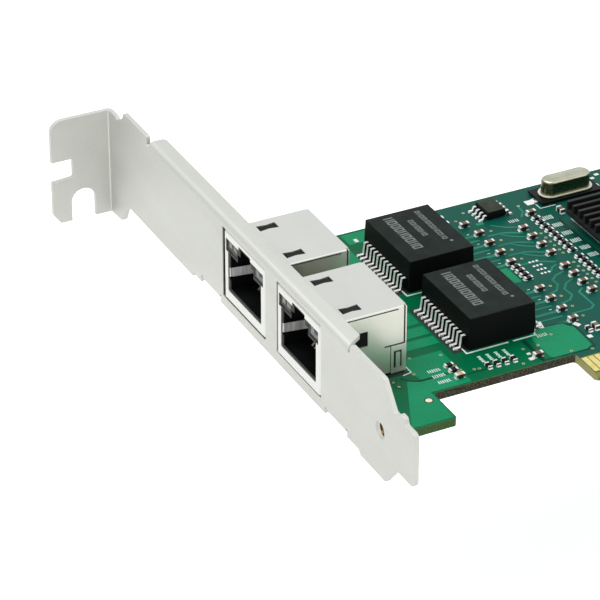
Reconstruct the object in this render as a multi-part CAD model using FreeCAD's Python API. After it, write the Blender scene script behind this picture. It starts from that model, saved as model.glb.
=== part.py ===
# Network interface card with two network jacks, modelled in millimetres.
# A folded steel bracket carries a printed circuit board. On the board sit two shielded jacks,
# two transformer modules, a controller under a finned heat sink, a crystal, a memory chip,
# a voltage regulator and small surface-mounted parts.
# X runs along the board from the bracket's outer face, Y along the bracket from the end of its
# tongue to its screw flange, and Z up from the board's component side.
import FreeCAD, Part
import math
import os

V = FreeCAD.Vector
os.makedirs("parts", exist_ok=True)

# Sheet steel of the bracket
sheet = 0.86
fold_inside = 0.3
fold_outside = fold_inside + sheet

# Jacks
jack_middles = (61.5, 40.8)
jack_width = 16.0
jack_length = 16.3
jack_top = 13.2
jack_skirt = -0.25
shield_sheet = 0.25
shield_low = 0.6
shield_front_radius = 0.45
port_clearance = 0.3
port_shift = 0.2
port_far_shift = 0.5
port_corner = 0.3
side_wall = 1.5
opening_width = jack_width - 2 * side_wall
opening_low = 1.5
opening_step = 9.3
opening_high = 11.8
upper_side_wall = 0.7
opening_upper_width = jack_width - 2 * upper_side_wall
opening_latch_width = 4.6
opening_latch_high = 12.5
opening_overlap = 0.6
cavity_width = opening_width - 2 * opening_overlap
cavity_low = 2.0
cavity_high = 8.8
cavity_back_wall = 3.9
cavity_depth = jack_length - cavity_back_wall
contact_count = 8
contact_pitch = 1.02
contact_width = 0.45
contact_thickness = 0.3
pin_below = 1.0
pin_hole_gap = 0.12
led_width = 3.9
led_low = 9.45
led_height = 2.2
led_length = 6.0
led_gap = 0.05
led_lead = 0.45
peg_radius = 1.6
peg_x = 5.0
peg_inset = 2.28
peg_offset = jack_width / 2 - peg_inset
leg_near = 8.0
leg_width = 1.2
spring_low = 4.2
spring_high = 6.0
spring_sheet = 0.16
spring_length = 4.8
spring_bow = 0.75
window_inset = 2.85
window_offset = jack_width / 2 - window_inset
window_near = 5.2
window_length = 3.6
window_width = 1.9
window_pinch = 0.25
rear_seam = 0.3
top_seam_x = (4.2, 14.7)
top_seam_height = 0.24
flap_length = 2.9
flap_high = 5.7
side_window_x = (5.8, 8.95)
side_window_z = (7.0, 9.9)
contact_row_back = 3.46
contact_row_pitch = 2.54
contact_row_far = jack_length - contact_row_back
contact_rows = (contact_row_far - contact_row_pitch, contact_row_far)
led_tail_back = 1.7
latch_width = 6.2
latch_high = 10.4
latch_depth = cavity_depth - 3.0
latch_mouth_width = 4.0
latch_mouth_depth = cavity_depth - 5.0
led_tail_spread = 1.27

# Places on a jack that several of its pieces share
led_offset = opening_upper_width / 2 - led_width / 2 - led_gap
led_places = (led_offset, -led_offset)
led_tail_x = jack_length - led_tail_back
window_x = (window_near, window_near + window_length)
flap_near = jack_length - flap_length

# Ears folded under the board, and the screws through them
ear_clear = 5.8
ear_places = (jack_middles[1] - jack_width / 2 - ear_clear, jack_middles[0] + jack_width / 2 + ear_clear)
ear_width = 7.0
ear_reach = 9.6
ear_slit = 0.5
screw_x = 6.0
screw_radius = 1.5
screw_clearance = 0.1
screw_head_radius = 2.75
screw_head_height = 1.9
screw_tip_below = 0.6
screw_drive_radius = 1.0
screw_drive_depth = 1.1

# Circuit board
board_thickness = 1.6
board_bottom = -board_thickness
board_gap = 0.05
board_near = sheet + fold_inside + board_gap
board_length = 126.8
board_far = board_near + board_length
board_back_margin = 0.15
board_back = ear_places[1] + ear_width / 2 + board_back_margin
board_front = 24.57
bracket_tab_length = 15.9
bracket_tab_front = 16.35
recess_radius = 0.7
corner_hole_radius = 1.2
corner_hole_inset = 3.1
corner_hole_x = board_near + corner_hole_inset
corner_hole_y = bracket_tab_front + corner_hole_inset + 0.25

# Edge connector: gold fingers on a tongue of the board, with two key notches
finger_count = 62
finger_pitch = 1.27
finger_width = 1.02
finger_thickness = 0.05
finger_start = 44.8
finger_length = 4.6
finger_setback = 1.65
connector_margin = 0.15
connector_near = finger_start - connector_margin
connector_far = finger_start + (finger_count - 1) * finger_pitch + finger_width + connector_margin
connector_front = 16.6
connector_bevel = 0.6
key_positions = (12, 50)
key_width = 1.95
key_depth = 6.2

# Bracket strip, tongue and lip
tongue_low = 0.95
tongue_high = 11.1
tongue_length = 5.8
tongue_slope_end = 9.55
shoulder_step = 0.9
shoulder_end = 10.6
strip_low = -3.48
lip_over_port = 0.28
lip_top = jack_top + port_clearance + lip_over_port + fold_outside
plain_top = lip_top + 0.76
lip_reach = 3.46
lip_near = 23.0
lip_slant = 2.3
lip_far = 101.3
lip_corner_radius = 0.9
strip_recess_low = -2.7
strip_recess_near = 18.8
strip_recess_far = 82.5
strip_step = 0.5
locating_hole_radius = 1.5
locating_hole_y = 11.65
locating_hole_z = 5.32

# Screw flange folded off the bracket's far end
flange_face = 120.02
flange_depth = 11.8
flange_low = -8.4
flange_high = 13.2
screw_slot_width = 4.8
screw_slot_x = -5.6
screw_slot_centre_z = -4.5
flange_notch_depth = 4.2
flange_notch_low = 0.7
flange_notch_high = 4.65
flange_corner_radius = 2.5
flange_root = flange_face - fold_outside
neck_start = 8.7
neck_end = 3.2

# Transformer modules
module_offsets = (2.0, 1.25)
module_middles = [middle + offset for middle, offset in zip(jack_middles, module_offsets)]
module_width = 13.0
module_length = 17.1
module_low = 0.1
module_high = 6.3
module_seam = 2.4
module_span = 17.3
module_jack_gap = 10.5
module_near = jack_length + module_jack_gap
module_x = module_near + module_span / 2
module_far = module_near + module_span
module_lead_count = 12
gull_pitch = 1.27
module_lead_width = 0.6
gull_thickness = 0.25

# Controller, its solder balls, thermal pad and heat sink
sink_module_gap = 22.4
sink_near = module_far + sink_module_gap
sink_length = 28.0
sink_margin = 14.55
sink_back = board_back - sink_margin
sink_width = 28.0
sink_base_height = 1.1
fin_count = 15
fin_thickness = 0.68
fin_height = 1.65
chip_size = 23.0
chip_height = 1.1
ball_count = 14
ball_pitch = 1.5
ball_radius = 0.35
ball_height = 0.45
thermal_pad_size = 20.0
thermal_pad_height = 0.25

# Crystal
crystal_sink_offset = 5.55
crystal_margin = 5.0
crystal_x = sink_near + crystal_sink_offset
crystal_y = board_back - crystal_margin
crystal_base_length = 12.8
crystal_base_width = 5.5
crystal_lead_reach = 6.75
crystal_base_height = 0.7
crystal_rim_length = 11.05
crystal_rim_width = 4.4
crystal_rim_height = 0.3
crystal_can_length = 9.9
crystal_can_width = 3.5
crystal_height = 3.9

# Memory chip and voltage regulator
memory_module_gap = 11.85
memory_margin = 5.35
memory_x = module_far + memory_module_gap
memory_y = board_back - memory_margin
memory_width = 3.9
memory_length = 4.9
memory_high = 1.65
memory_span = 6.8
memory_lead_width = 0.55
regulator_end_margin = 18.01
regulator_margin = 12.95
regulator_x = board_far - regulator_end_margin
regulator_y = board_back - regulator_margin
regulator_width = 3.5
regulator_length = 6.5
regulator_high = 1.7
regulator_span = 7.0
regulator_pitch = 2.3
regulator_tab_width = 3.0

# Small two-ended parts: length, width and height, and the length of each end cap
capacitor_size = (1.75, 0.95, 0.85, 0.4)
resistor_size = (1.65, 0.85, 0.5, 0.35)
tiny_size = (1.65, 0.8, 0.45, 0.35)
tantalum_size = (6.0, 3.2, 2.6, 1.2)
near_column_gap = 6.0
far_column_gap = 14.1
tiny_column_gap = 4.2
capacitor_pitches = (3.85, 3.77, 3.3, 3.08)
tail_capacitor_pitch = 4.0
resistor_pitch = 1.45
resistor_stack_offset = 12.15
tiny_pitches = (1.62, 1.52)
tiny_start = 3.45
tiny_break = 11.9
front_row_x = 29.5
front_row_pitch = 1.63
tail_resistor_drops = (12.0, 20.0)
tail_pitch = 1.6
front_row_inset = 2.4
front_stack_inset = 5.8
tail_column_gaps = (3.0, 6.5, 9.5, 19.5)
tail_start = 2.8
near_column = module_far + near_column_gap
far_column = module_far + far_column_gap
tiny_column = sink_near - tiny_column_gap
sink_far = sink_near + sink_length
tail_columns = [sink_far + gap for gap in tail_column_gaps]
tail_back = sink_back - tail_start


def rounded_wire(corners, place):
    """Closed wire through corners (a, b) or (a, b, r), with an arc where a radius is given."""
    ends = []
    for i, corner in enumerate(corners):
        here = place(corner[0], corner[1])
        radius = corner[2] if len(corner) > 2 else 0
        if radius == 0:
            ends.append((here, None, here))
            continue
        before = place(*corners[i - 1][:2])
        after = place(*corners[(i + 1) % len(corners)][:2])
        back = (before - here).normalize()
        ahead = (after - here).normalize()
        half_angle = back.getAngle(ahead) / 2
        inward = (back + ahead).normalize()
        reach = radius / math.tan(half_angle)
        middle = here + inward * (radius / math.sin(half_angle) - radius)
        ends.append((here + back * reach, middle, here + ahead * reach))
    edges = []
    for i, (start, middle, stop) in enumerate(ends):
        if middle is not None:
            edges.append(Part.Arc(start, middle, stop).toShape())
        following = ends[(i + 1) % len(ends)][0]
        if stop.distanceToPoint(following) > 1e-6:
            edges.append(Part.makeLine(stop, following))
    return Part.Wire(edges)


def slab(corners, axis, low, high):
    """Solid of one outline carried along an axis. The outline gives the other two axes in order."""
    places = {
        "x": lambda a, b: V(low, a, b),
        "y": lambda a, b: V(a, low, b),
        "z": lambda a, b: V(a, b, low),
    }
    directions = {"x": V(1, 0, 0), "y": V(0, 1, 0), "z": V(0, 0, 1)}
    face = Part.Face(rounded_wire(corners, places[axis]))
    return face.extrude(directions[axis] * (high - low))


def block(x, y, z):
    """Box between pairs of limits."""
    return Part.makeBox(x[1] - x[0], y[1] - y[0], z[1] - z[0], V(x[0], y[0], z[0]))


def rectangle(a, b, radius=0):
    """Corners of a rectangle between pairs of limits, for an outline."""
    return [(a[0], b[0], radius), (a[1], b[0], radius), (a[1], b[1], radius), (a[0], b[1], radius)]


def stadium(x, y, length, width, low, high):
    """Upright solid with straight long sides along X and full round ends."""
    corners = rectangle((x - length / 2, x + length / 2), (y - width / 2, y + width / 2), width / 2 - 0.01)
    return slab(corners, "z", low, high)


def post(x, y, radius, low, high):
    """Upright round rod."""
    return Part.makeCylinder(radius, high - low, V(x, y, low))


def ribbon(path, thickness):
    """Outline of a strip that is bent along a path, with half the thickness on each side."""
    left = []
    right = []
    for i, (a, b) in enumerate(path):
        normals = []
        for start, stop in zip(path[max(i - 1, 0):i + 1], path[max(i, 1):i + 2]):
            run = math.hypot(stop[0] - start[0], stop[1] - start[1])
            normals.append(((start[1] - stop[1]) / run, (stop[0] - start[0]) / run))
        first, last = normals[0], normals[-1]
        mitre = thickness / 2 / (1 + first[0] * last[0] + first[1] * last[1])
        if first == last:
            mitre = thickness / 4
        shift = ((first[0] + last[0]) * mitre, (first[1] + last[1]) * mitre)
        left.append((a + shift[0], b + shift[1]))
        right.append((a - shift[0], b - shift[1]))
    return left + right[::-1]


def mirrored_pair(shape):
    """A shape and its mirror image across the plane Y = 0."""
    return [shape, shape.mirror(V(0, 0, 0), V(0, 1, 0))]


def joined(shapes):
    """One solid made from touching or overlapping shapes."""
    return shapes[0].multiFuse(shapes[1:]).removeSplitter()


def moved(shape, x=0, y=0, z=0):
    """Copy of a shape at another place."""
    copy = shape.copy()
    copy.translate(V(x, y, z))
    return copy


def save(node, solids):
    """Write one node. The origin is on the bracket's outer face, level with the board's
    component side and in line with its back edge."""
    group = Part.makeCompound(solids)
    group.translate(V(0, -board_back, 0))
    group.exportStep("parts/" + node + ".step")


# Bracket: one steel blank, pierced and folded
def port_hole(index):
    """Cut-out in the strip for one jack. The first is off its jack and a little wide, as punched."""
    near, far = (port_shift, port_far_shift) if index == 0 else (0, 0)
    half = jack_width / 2 + port_clearance
    y = (jack_middles[index] - half + near, jack_middles[index] + half + far)
    z = (jack_skirt - port_clearance - near, jack_top + port_clearance - near)
    return slab(rectangle(y, z, port_corner), "x", -sheet, 2 * sheet)


def strip():
    """Flat strip with the tongue at one end and the root of the screw flange at the other."""
    fold_edge = lip_top - fold_outside
    neck = flange_root - neck_start
    corners = [
        (0, tongue_low, 1.2),
        (tongue_length, tongue_low, 0.4),
        (tongue_slope_end, strip_low, 0.9),
        (strip_recess_near - strip_step, strip_low),
        (strip_recess_near, strip_recess_low),
        (strip_recess_far, strip_recess_low),
        (strip_recess_far + strip_step, strip_low),
        (neck, strip_low, 1.0),
        (neck + 2.0, strip_low - 0.92, 0.6),
        (neck + 3.5, flange_low + 1.0, 0.4),
        (neck + 4.4, flange_low + 0.35, 0.4),
        (flange_root, flange_low),
        (flange_root, flange_high),
        (flange_root - neck_end + 0.3, flange_high, 0.2),
        (flange_root - neck_end, flange_high - 0.45, 0.2),
        (neck + 2.9, flange_high + shoulder_step, 0.6),
        (neck + 2.0, plain_top, 0.4),
        (lip_far + 0.9, plain_top, 0.4),
        (lip_far + 0.8, fold_edge + 0.3, 0.2),
        (lip_far + 0.2, fold_edge, 0.2),
        (lip_near - 0.5, fold_edge, 0.2),
        (lip_near - 0.9, plain_top, 0.4),
        (shoulder_end, plain_top, 0.8),
        (shoulder_end - 3.5, tongue_high + 0.3, 0.6),
        (tongue_length - 0.3, tongue_high + 0.3, 0.4),
        (tongue_length - 0.6, tongue_high + 1.2, 0.5),
        (tongue_length - 2.1, tongue_high + 1.2, 0.6),
        (tongue_length - 2.6, tongue_high, 0.5),
        (0, tongue_high, 0.9),
    ]
    return slab(corners, "x", 0, sheet)


def lip():
    """Stiffening lip folded over along the top edge, its near end cut at a slant."""
    section = [
        (0, lip_top - fold_outside),
        (0, lip_top, fold_outside),
        (lip_reach, lip_top),
        (lip_reach, lip_top - sheet),
        (sheet, lip_top - sheet, fold_inside),
        (sheet, lip_top - fold_outside),
    ]
    folded = slab(section, "y", lip_near, lip_far)
    plan = [
        (-lip_reach, lip_near),
        (0, lip_near),
        (lip_reach, lip_near + lip_slant, 0.3),
        (lip_reach, lip_far, lip_corner_radius),
        (-lip_reach, lip_far),
    ]
    return folded.common(slab(plan, "z", strip_low, lip_top + sheet))


def flange():
    """Screw flange with its open slot, its side notch and shaped corners."""
    root = flange_face - 2 * fold_outside
    section = [
        (0, root),
        (0, flange_face - sheet, fold_inside),
        (-flange_depth, flange_face - sheet),
        (-flange_depth, flange_face),
        (sheet, flange_face, fold_outside),
        (sheet, root),
    ]
    folded = slab(section, "z", flange_low, flange_high)
    front_view = [
        (-flange_depth, flange_high, flange_corner_radius),
        (2 * sheet, flange_high),
        (2 * sheet, flange_low),
        (-flange_depth + 1.5, flange_low, 0.4),
        (-flange_depth, flange_low + 2.0, 0.4),
    ]
    trimmed = folded.common(slab(front_view, "y", root - 1, flange_face + 1))
    slot_x = (screw_slot_x - screw_slot_width / 2, screw_slot_x + screw_slot_width / 2)
    slot = slab(
        [
            (slot_x[0], flange_low - 1),
            (slot_x[1], flange_low - 1),
            (slot_x[1], screw_slot_centre_z + screw_slot_width / 2, screw_slot_width / 2 - 0.01),
            (slot_x[0], screw_slot_centre_z + screw_slot_width / 2, screw_slot_width / 2 - 0.01),
        ],
        "y",
        root,
        flange_face + 1,
    )
    notch = slab(
        [
            (-flange_depth - 1, flange_notch_low - 0.2),
            (-flange_depth, flange_notch_low - 0.2),
            (-flange_depth + flange_notch_depth, flange_notch_low + 0.1, 0.25),
            (-flange_depth + flange_notch_depth, flange_notch_high, 0.4),
            (-flange_depth - 1, flange_notch_high),
        ],
        "y",
        root,
        flange_face + 1,
    )
    return trimmed.cut(slot).cut(notch)


def ear(y):
    """Ear folded off the strip's lower edge, flat against the board's underside, with its
    threaded hole. It is fused to the strip above its two slits."""
    low = board_bottom - sheet
    section = [
        (0, low + 2 * fold_outside),
        (0, low, fold_outside),
        (ear_reach, low),
        (ear_reach, board_bottom),
        (sheet, board_bottom, fold_inside),
        (sheet, low + 2 * fold_outside),
    ]
    limits = (y - ear_width / 2, y + ear_width / 2)
    folded = slab(section, "y", *limits)
    plan = rectangle((-ear_reach, ear_reach), limits, 2.0)
    rounded = folded.common(slab(plan, "z", low - 1, low + 3 * fold_outside))
    root = block((0, sheet), limits, (low + fold_outside, low + 2 * fold_outside))
    return rounded.fuse(root).cut(post(screw_x, y, screw_radius, low - 1, board_bottom + 1))


def bracket():
    """The whole folded bracket."""
    plate = strip()
    for index in range(len(jack_middles)):
        plate = plate.cut(port_hole(index))
    hole_start = V(-sheet, locating_hole_y, locating_hole_z)
    plate = plate.cut(Part.makeCylinder(locating_hole_radius, 3 * sheet, hole_start, V(1, 0, 0)))
    for y in ear_places:
        half = ear_width / 2 + ear_slit
        fold_start = board_bottom - sheet + fold_outside
        plate = plate.cut(block((-1, sheet + 1), (y - half, y + half), (strip_low - 1, fold_start)))
    return joined([plate, lip(), flange()] + [ear(y) for y in ear_places])


# Holes and slots of the board
def contact_places():
    """Side position and tail row of each contact, with the tails staggered in two rows."""
    first = -(contact_count - 1) / 2 * contact_pitch
    return [(first + i * contact_pitch, contact_rows[i % 2]) for i in range(contact_count)]


def board_holes():
    """Everything that is drilled or milled through the board."""
    bottom = board_bottom - 1
    holes = [post(screw_x, y, screw_radius + screw_clearance, bottom, 1) for y in ear_places]
    holes.append(post(corner_hole_x, corner_hole_y, corner_hole_radius, bottom, 1))
    for middle in jack_middles:
        for side in (-1, 1):
            holes.append(post(peg_x, middle + side * peg_offset, peg_radius + pin_hole_gap, bottom, 1))
            leg_y = middle + side * (jack_width / 2 - shield_sheet / 2)
            slot_half = shield_sheet / 2 + pin_hole_gap
            slot_x = (leg_near - pin_hole_gap, leg_near + leg_width + pin_hole_gap)
            holes.append(block(slot_x, (leg_y - slot_half, leg_y + slot_half), (bottom, 1)))
        for y, x in contact_places():
            radius = math.hypot(contact_width, contact_thickness) / 2 + pin_hole_gap
            holes.append(post(x, middle + y, radius, bottom, 1))
        for led_y in led_places:
            for spread in (-led_tail_spread, led_tail_spread):
                radius = led_lead * 0.5 * math.sqrt(2) + pin_hole_gap
                holes.append(post(led_tail_x, middle + led_y + spread, radius, bottom, 1))
    return holes


def finger_x(position):
    """Near edge of the finger in a position counted from zero."""
    return finger_start + position * finger_pitch


def circuit_board():
    """Laminate outline with the bracket tab, the recess and the bevelled connector tongue."""
    tab_far = board_near + bracket_tab_length
    corners = [
        (board_near, bracket_tab_front, 0.3),
        (tab_far, bracket_tab_front, 0.6),
        (tab_far, board_front, recess_radius),
        (connector_near, board_front, recess_radius),
        (connector_near, connector_front, 1.2),
        (connector_far, connector_front, 1.2),
        (connector_far, board_front, recess_radius),
        (board_far, board_front, 0.8),
        (board_far, board_back, 0.8),
        (board_near, board_back, 0.3),
    ]
    board = slab(corners, "z", board_bottom, 0)
    for top, bottom in ((0, -connector_bevel), (board_bottom, board_bottom + connector_bevel)):
        wedge = [
            (connector_front - 1, 2 * top - bottom),
            (connector_front - 1, bottom),
            (connector_front, bottom),
            (connector_front + finger_setback, top),
            (connector_front + finger_setback, 2 * top - bottom),
        ]
        board = board.cut(slab(wedge, "x", connector_near - 1, connector_far + 1))
    for position in key_positions:
        middle = finger_x(position) - (finger_pitch - finger_width) / 2
        notch_y = (connector_front - 1, connector_front + key_depth)
        notch_x = (middle - key_width / 2, middle + key_width / 2)
        board = board.cut(slab(rectangle(notch_x, notch_y, 0.3), "z", board_bottom - 1, 1))
    return board.cut(Part.makeCompound(board_holes()))


def edge_fingers(low):
    """Gold fingers of one side, leaving out the two positions beside each key notch."""
    skipped = [position + side for position in key_positions for side in (-1, 0)]
    start = connector_front + finger_setback
    fingers = []
    for position in range(finger_count):
        if position in skipped:
            continue
        x = (finger_x(position), finger_x(position) + finger_width)
        fingers.append(block(x, (start, start + finger_length), (low, low + finger_thickness)))
    return fingers


# Jacks: each is made around Y = 0 and then moved to its place
def opening_outline():
    """Outline of the shield's front opening, with the wider light level and the latch notch."""
    main = opening_width / 2
    upper = opening_upper_width / 2
    latch = opening_latch_width / 2
    right = [
        (main, opening_low, 0.3),
        (main, opening_step),
        (upper, opening_step),
        (upper, opening_high, 0.2),
        (latch, opening_high),
        (latch, opening_latch_high, 0.2),
    ]
    left = [(-corner[0],) + tuple(corner[1:]) for corner in right[::-1]]
    return right + left


def spring_path():
    """Plan of the leaf spring that grips the plug on one side of the opening."""
    edge = opening_width / 2
    root = (shield_sheet / 2, edge + 0.4)
    return [root, (0.45, edge - 0.05), (1.3, edge - 0.2), (spring_length, edge - spring_bow)]


def window_outline():
    """Plan of a catch window in the shield's top, with its long sides pinched in the middle."""
    middle = sum(window_x) / 2
    low = window_offset - window_width / 2
    high = window_offset + window_width / 2
    far_side = [(window_x[1], low), (window_x[1], high), (middle, high - window_pinch)]
    near_side = [(window_x[0], high), (window_x[0], low), (middle, low + window_pinch)]
    return far_side + near_side


def jack_shield():
    """Tinned sheet shell: front with its opening, top, two sides, side springs and ground legs."""
    half = jack_width / 2
    inner = half - shield_sheet
    side_end = jack_length - shield_sheet - rear_seam
    shell = block((0, side_end), (-half, half), (shield_low, jack_top))
    top_edges = []
    for edge in shell.Edges:
        middle = edge.CenterOfMass
        if abs(middle.z - jack_top) < 0.01 and abs(abs(middle.y) - half) < 0.01:
            top_edges.append(edge)
    shell = shell.makeFillet(shield_sheet * 1.4, top_edges)
    front_edges = []
    for edge in shell.Edges:
        box = edge.BoundBox
        if box.XMax < 0.01 and box.YLength < 0.01 and box.ZLength > jack_top / 2:
            front_edges.append(edge)
    shell = shell.makeFillet(shield_front_radius, front_edges)
    roof_x = (side_end - 1, jack_length - 0.1)
    roof = block(roof_x, (-half + 0.4, half - 0.4), (jack_top - shield_sheet, jack_top))
    skirt_z = (jack_skirt, shield_low + 0.1)
    skirt = block((0, 1), (-half, half), skirt_z)
    skirt_edges = []
    for edge in skirt.Edges:
        box = edge.BoundBox
        if box.XMax < 0.01 and box.YLength < 0.01:
            skirt_edges.append(edge)
    skirt = skirt.makeFillet(shield_front_radius, skirt_edges)
    skirt = skirt.common(block((0, shield_sheet), (-half, half), skirt_z))
    shell = shell.fuse(roof).fuse(skirt)
    hollow_z = (jack_skirt - 1, jack_top - shield_sheet)
    hollow = block((shield_sheet, jack_length + 1), (-inner, inner), hollow_z)
    cuts = [hollow, slab(opening_outline(), "x", -1, shield_sheet)]
    flap_clear = flap_near - rear_seam / 2
    wall = (inner - 0.2, half + 0.2)
    cuts += mirrored_pair(block((flap_clear, jack_length), wall, (0, flap_high + rear_seam)))
    cuts += mirrored_pair(block((flap_clear - 1.1, jack_length), wall, (flap_high, flap_high + rear_seam)))
    seam_top = jack_top - shield_sheet * 1.6
    cuts += mirrored_pair(block(top_seam_x, wall, (seam_top - top_seam_height, seam_top)))
    cuts += mirrored_pair(slab(window_outline(), "z", jack_top - 1, jack_top + 1))
    cuts += mirrored_pair(block(side_window_x, wall, side_window_z))
    shell = shell.cut(Part.makeCompound(cuts))
    extras = mirrored_pair(slab(ribbon(spring_path(), spring_sheet), "z", spring_low, spring_high))
    leg_x = (leg_near, leg_near + leg_width)
    extras += mirrored_pair(block(leg_x, (inner, half), (board_bottom - pin_below, shield_low + 0.5)))
    return joined([shell] + extras)


def jack_rear_cover():
    """Rear plate with a flap round each side, a window and the tab that locks into it."""
    half = jack_width / 2
    inner = half - shield_sheet
    plate_x = (jack_length - shield_sheet, jack_length)
    pieces = [block(plate_x, (-half, half), (0.3, jack_top - shield_sheet - 0.05))]
    window_x_limits = (flap_near + 0.55, flap_near + 2.05)
    for side in (-1, 1):
        y = (min(side * inner, side * half), max(side * inner, side * half))
        flap = block((flap_near, jack_length), y, (0.3, flap_high))
        flap = flap.cut(block(window_x_limits, (-half - 1, half + 1), (1.2, 4.6)))
        tab_x = (window_x_limits[0] + 0.35, window_x_limits[1] - 0.35)
        tab_y = (y[0] - 0.1, y[1]) if side < 0 else (y[0], y[1] + 0.1)
        pieces += [flap, block(tab_x, tab_y, (1.1, 4.3))]
    return joined(pieces)


def contact_path(tail_x):
    """Side view of one contact: sprung beam, curl at the front, run in the floor and tail."""
    sprung = [(10.4, 4.2), (4.9, 2.35), (4.3, 1.75), (4.5, 1.05)]
    return sprung + [(tail_x, 1.05), (tail_x, board_bottom - pin_below)]


def jack_contacts():
    """The eight contact wires."""
    wires = []
    for y, tail_x in contact_places():
        limits = (y - contact_width / 2, y + contact_width / 2)
        wires.append(slab(ribbon(contact_path(tail_x), contact_thickness), "y", *limits))
    return wires


def jack_led(y):
    """Light-emitting diode in an upper corner: a lens with a softened front and two leads."""
    front = shield_sheet + led_gap
    back = front + led_length
    lens = block((front, back), (y - led_width / 2, y + led_width / 2), (led_low, led_low + led_height))
    front_edges = [edge for edge in lens.Edges if abs(edge.CenterOfMass.x - front) < 0.01]
    lens = lens.makeFillet(0.25, front_edges)
    middle = led_low + led_height / 2
    tail = [(back - 0.1, middle), (led_tail_x, middle), (led_tail_x, board_bottom - pin_below)]
    pieces = [lens]
    for spread in (-led_tail_spread, led_tail_spread):
        limits = (y + spread - led_lead / 2, y + spread + led_lead / 2)
        pieces.append(slab(ribbon(tail, led_lead), "y", *limits))
    return joined(pieces)


def jack_housing(contacts, leds):
    """Moulded black insert: plug cavity with latch channel, light pockets, catches and pegs."""
    inner = jack_width / 2 - shield_sheet
    top = jack_top - shield_sheet
    front = shield_sheet
    body = block((front, jack_length - shield_sheet), (-inner, inner), (0, top))
    over_board_edge = block((0, board_near), (-inner, inner), (-1, 0.3))
    side = cavity_width / 2
    mouth = latch_mouth_width / 2
    cuts = [
        over_board_edge,
        block((0, cavity_depth), (-side, side), (cavity_low, cavity_high)),
        block((0, latch_depth), (-latch_width / 2, latch_width / 2), (cavity_high - 0.1, latch_high)),
        block((0, latch_mouth_depth), (-mouth, mouth), (latch_high - 0.1, opening_high + 0.1)),
    ]
    pocket_z = (led_low - led_gap, led_low + led_height + led_gap)
    for y in led_places:
        half = led_width / 2 + led_gap
        cuts.append(block((0, shield_sheet + led_gap + led_length), (y - half, y + half), pocket_z))
    spring_pocket = (side - 0.1, opening_width / 2 + 0.6)
    spring_z = (spring_low - 0.3, spring_high + 0.3)
    cuts += mirrored_pair(block((0, spring_length + 0.5), spring_pocket, spring_z))
    body = body.cut(Part.makeCompound(cuts))
    catch_half = window_width / 2 - window_pinch - 0.15
    catch_y = (window_offset - catch_half, window_offset + catch_half)
    catches = mirrored_pair(block((window_x[0] + 0.4, window_x[1] - 0.4), catch_y, (top - 0.5, top + 0.1)))
    pegs = [post(peg_x, side_y, peg_radius, board_bottom + 0.1, 0.5) for side_y in (-peg_offset, peg_offset)]
    body = joined([body] + catches + pegs)
    return body.cut(Part.makeCompound(contacts + leds))


def save_jack(number, middle):
    """Write the six nodes of one jack."""
    prefix = "jack_" + str(number) + "_"
    contacts = jack_contacts()
    left_led, right_led = [jack_led(y) for y in led_places]
    nodes = {
        "shield": [jack_shield()],
        "rear_cover": [jack_rear_cover()],
        "contacts": contacts,
        "left_led": [left_led],
        "right_led": [right_led],
        "housing": [jack_housing(contacts, [left_led, right_led])],
    }
    for name, solids in nodes.items():
        save(prefix + name, [moved(solid, y=middle) for solid in solids])


# Moulded packages and their gull-wing leads
def moulded_package(width, length, low, high, seam, draft=0.12):
    """Block whose sides lean in above and below the mould line, around X = 0 and Y = 0."""
    views = []
    for size, axis in ((width, "y"), (length, "x")):
        half = size / 2
        view = [
            (half - draft / 2, low),
            (half, seam),
            (half - draft, high, 0.15),
            (-half + draft, high, 0.15),
            (-half, seam),
            (-half + draft / 2, low),
        ]
        views.append(slab(view, axis, -max(width, length), max(width, length)))
    return views[0].common(views[1])


def gull_wing_rows(count, pitch, width, body_half, span_half, shoulder, package):
    """Two rows of gull-wing leads on the X sides of a package, cut to its drafted faces."""
    foot = gull_thickness / 2
    rise = 0.3 * (span_half - body_half)
    path = [
        (body_half - 0.4, shoulder),
        (body_half + rise, shoulder),
        (body_half + rise + 0.25, foot),
        (span_half, foot),
    ]
    leads = []
    for i in range(count):
        y = (i - (count - 1) / 2) * pitch
        lead = slab(ribbon(path, gull_thickness), "y", y - width / 2, y + width / 2).cut(package)
        leads += [lead, lead.mirror(V(0, 0, 0), V(1, 0, 0))]
    return leads


def save_package(prefix, x, y, package, leads):
    """Write a package body and its leads as two nodes."""
    save(prefix + "_body", [moved(package, x, y)])
    save(prefix + "_leads", [moved(lead, x, y) for lead in leads])


def save_transformers():
    """The two transformer modules between the jacks and the controller."""
    package = moulded_package(module_width, module_length, module_low, module_high, module_seam)
    half, reach = module_width / 2, module_span / 2
    leads = gull_wing_rows(
        module_lead_count, gull_pitch, module_lead_width, half, reach, module_seam, package
    )
    for number, middle in enumerate(module_middles, 1):
        save_package("transformer_" + str(number), module_x, middle, package, leads)


def save_memory_chip():
    """Eight-lead memory chip near the board's back edge."""
    seam = memory_high / 2
    package = moulded_package(memory_width, memory_length, 0.15, memory_high, seam, 0.2)
    leads = gull_wing_rows(4, gull_pitch, memory_lead_width, memory_width / 2, memory_span / 2, seam, package)
    save_package("memory_chip", memory_x, memory_y, package, leads)


def save_regulator():
    """Voltage regulator with three leads on one side and a wide tab on the other."""
    seam = regulator_high / 2
    package = moulded_package(regulator_width, regulator_length, 0.1, regulator_high, seam, 0.2)
    half = regulator_width / 2
    rows = gull_wing_rows(3, regulator_pitch, 0.7, half, regulator_span / 2, seam, package)
    tab = gull_wing_rows(1, regulator_pitch, regulator_tab_width, half, regulator_span / 2, seam, package)
    leads = rows[1::2] + tab[::2]
    save_package("regulator", regulator_x, regulator_y, package, leads)


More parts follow.
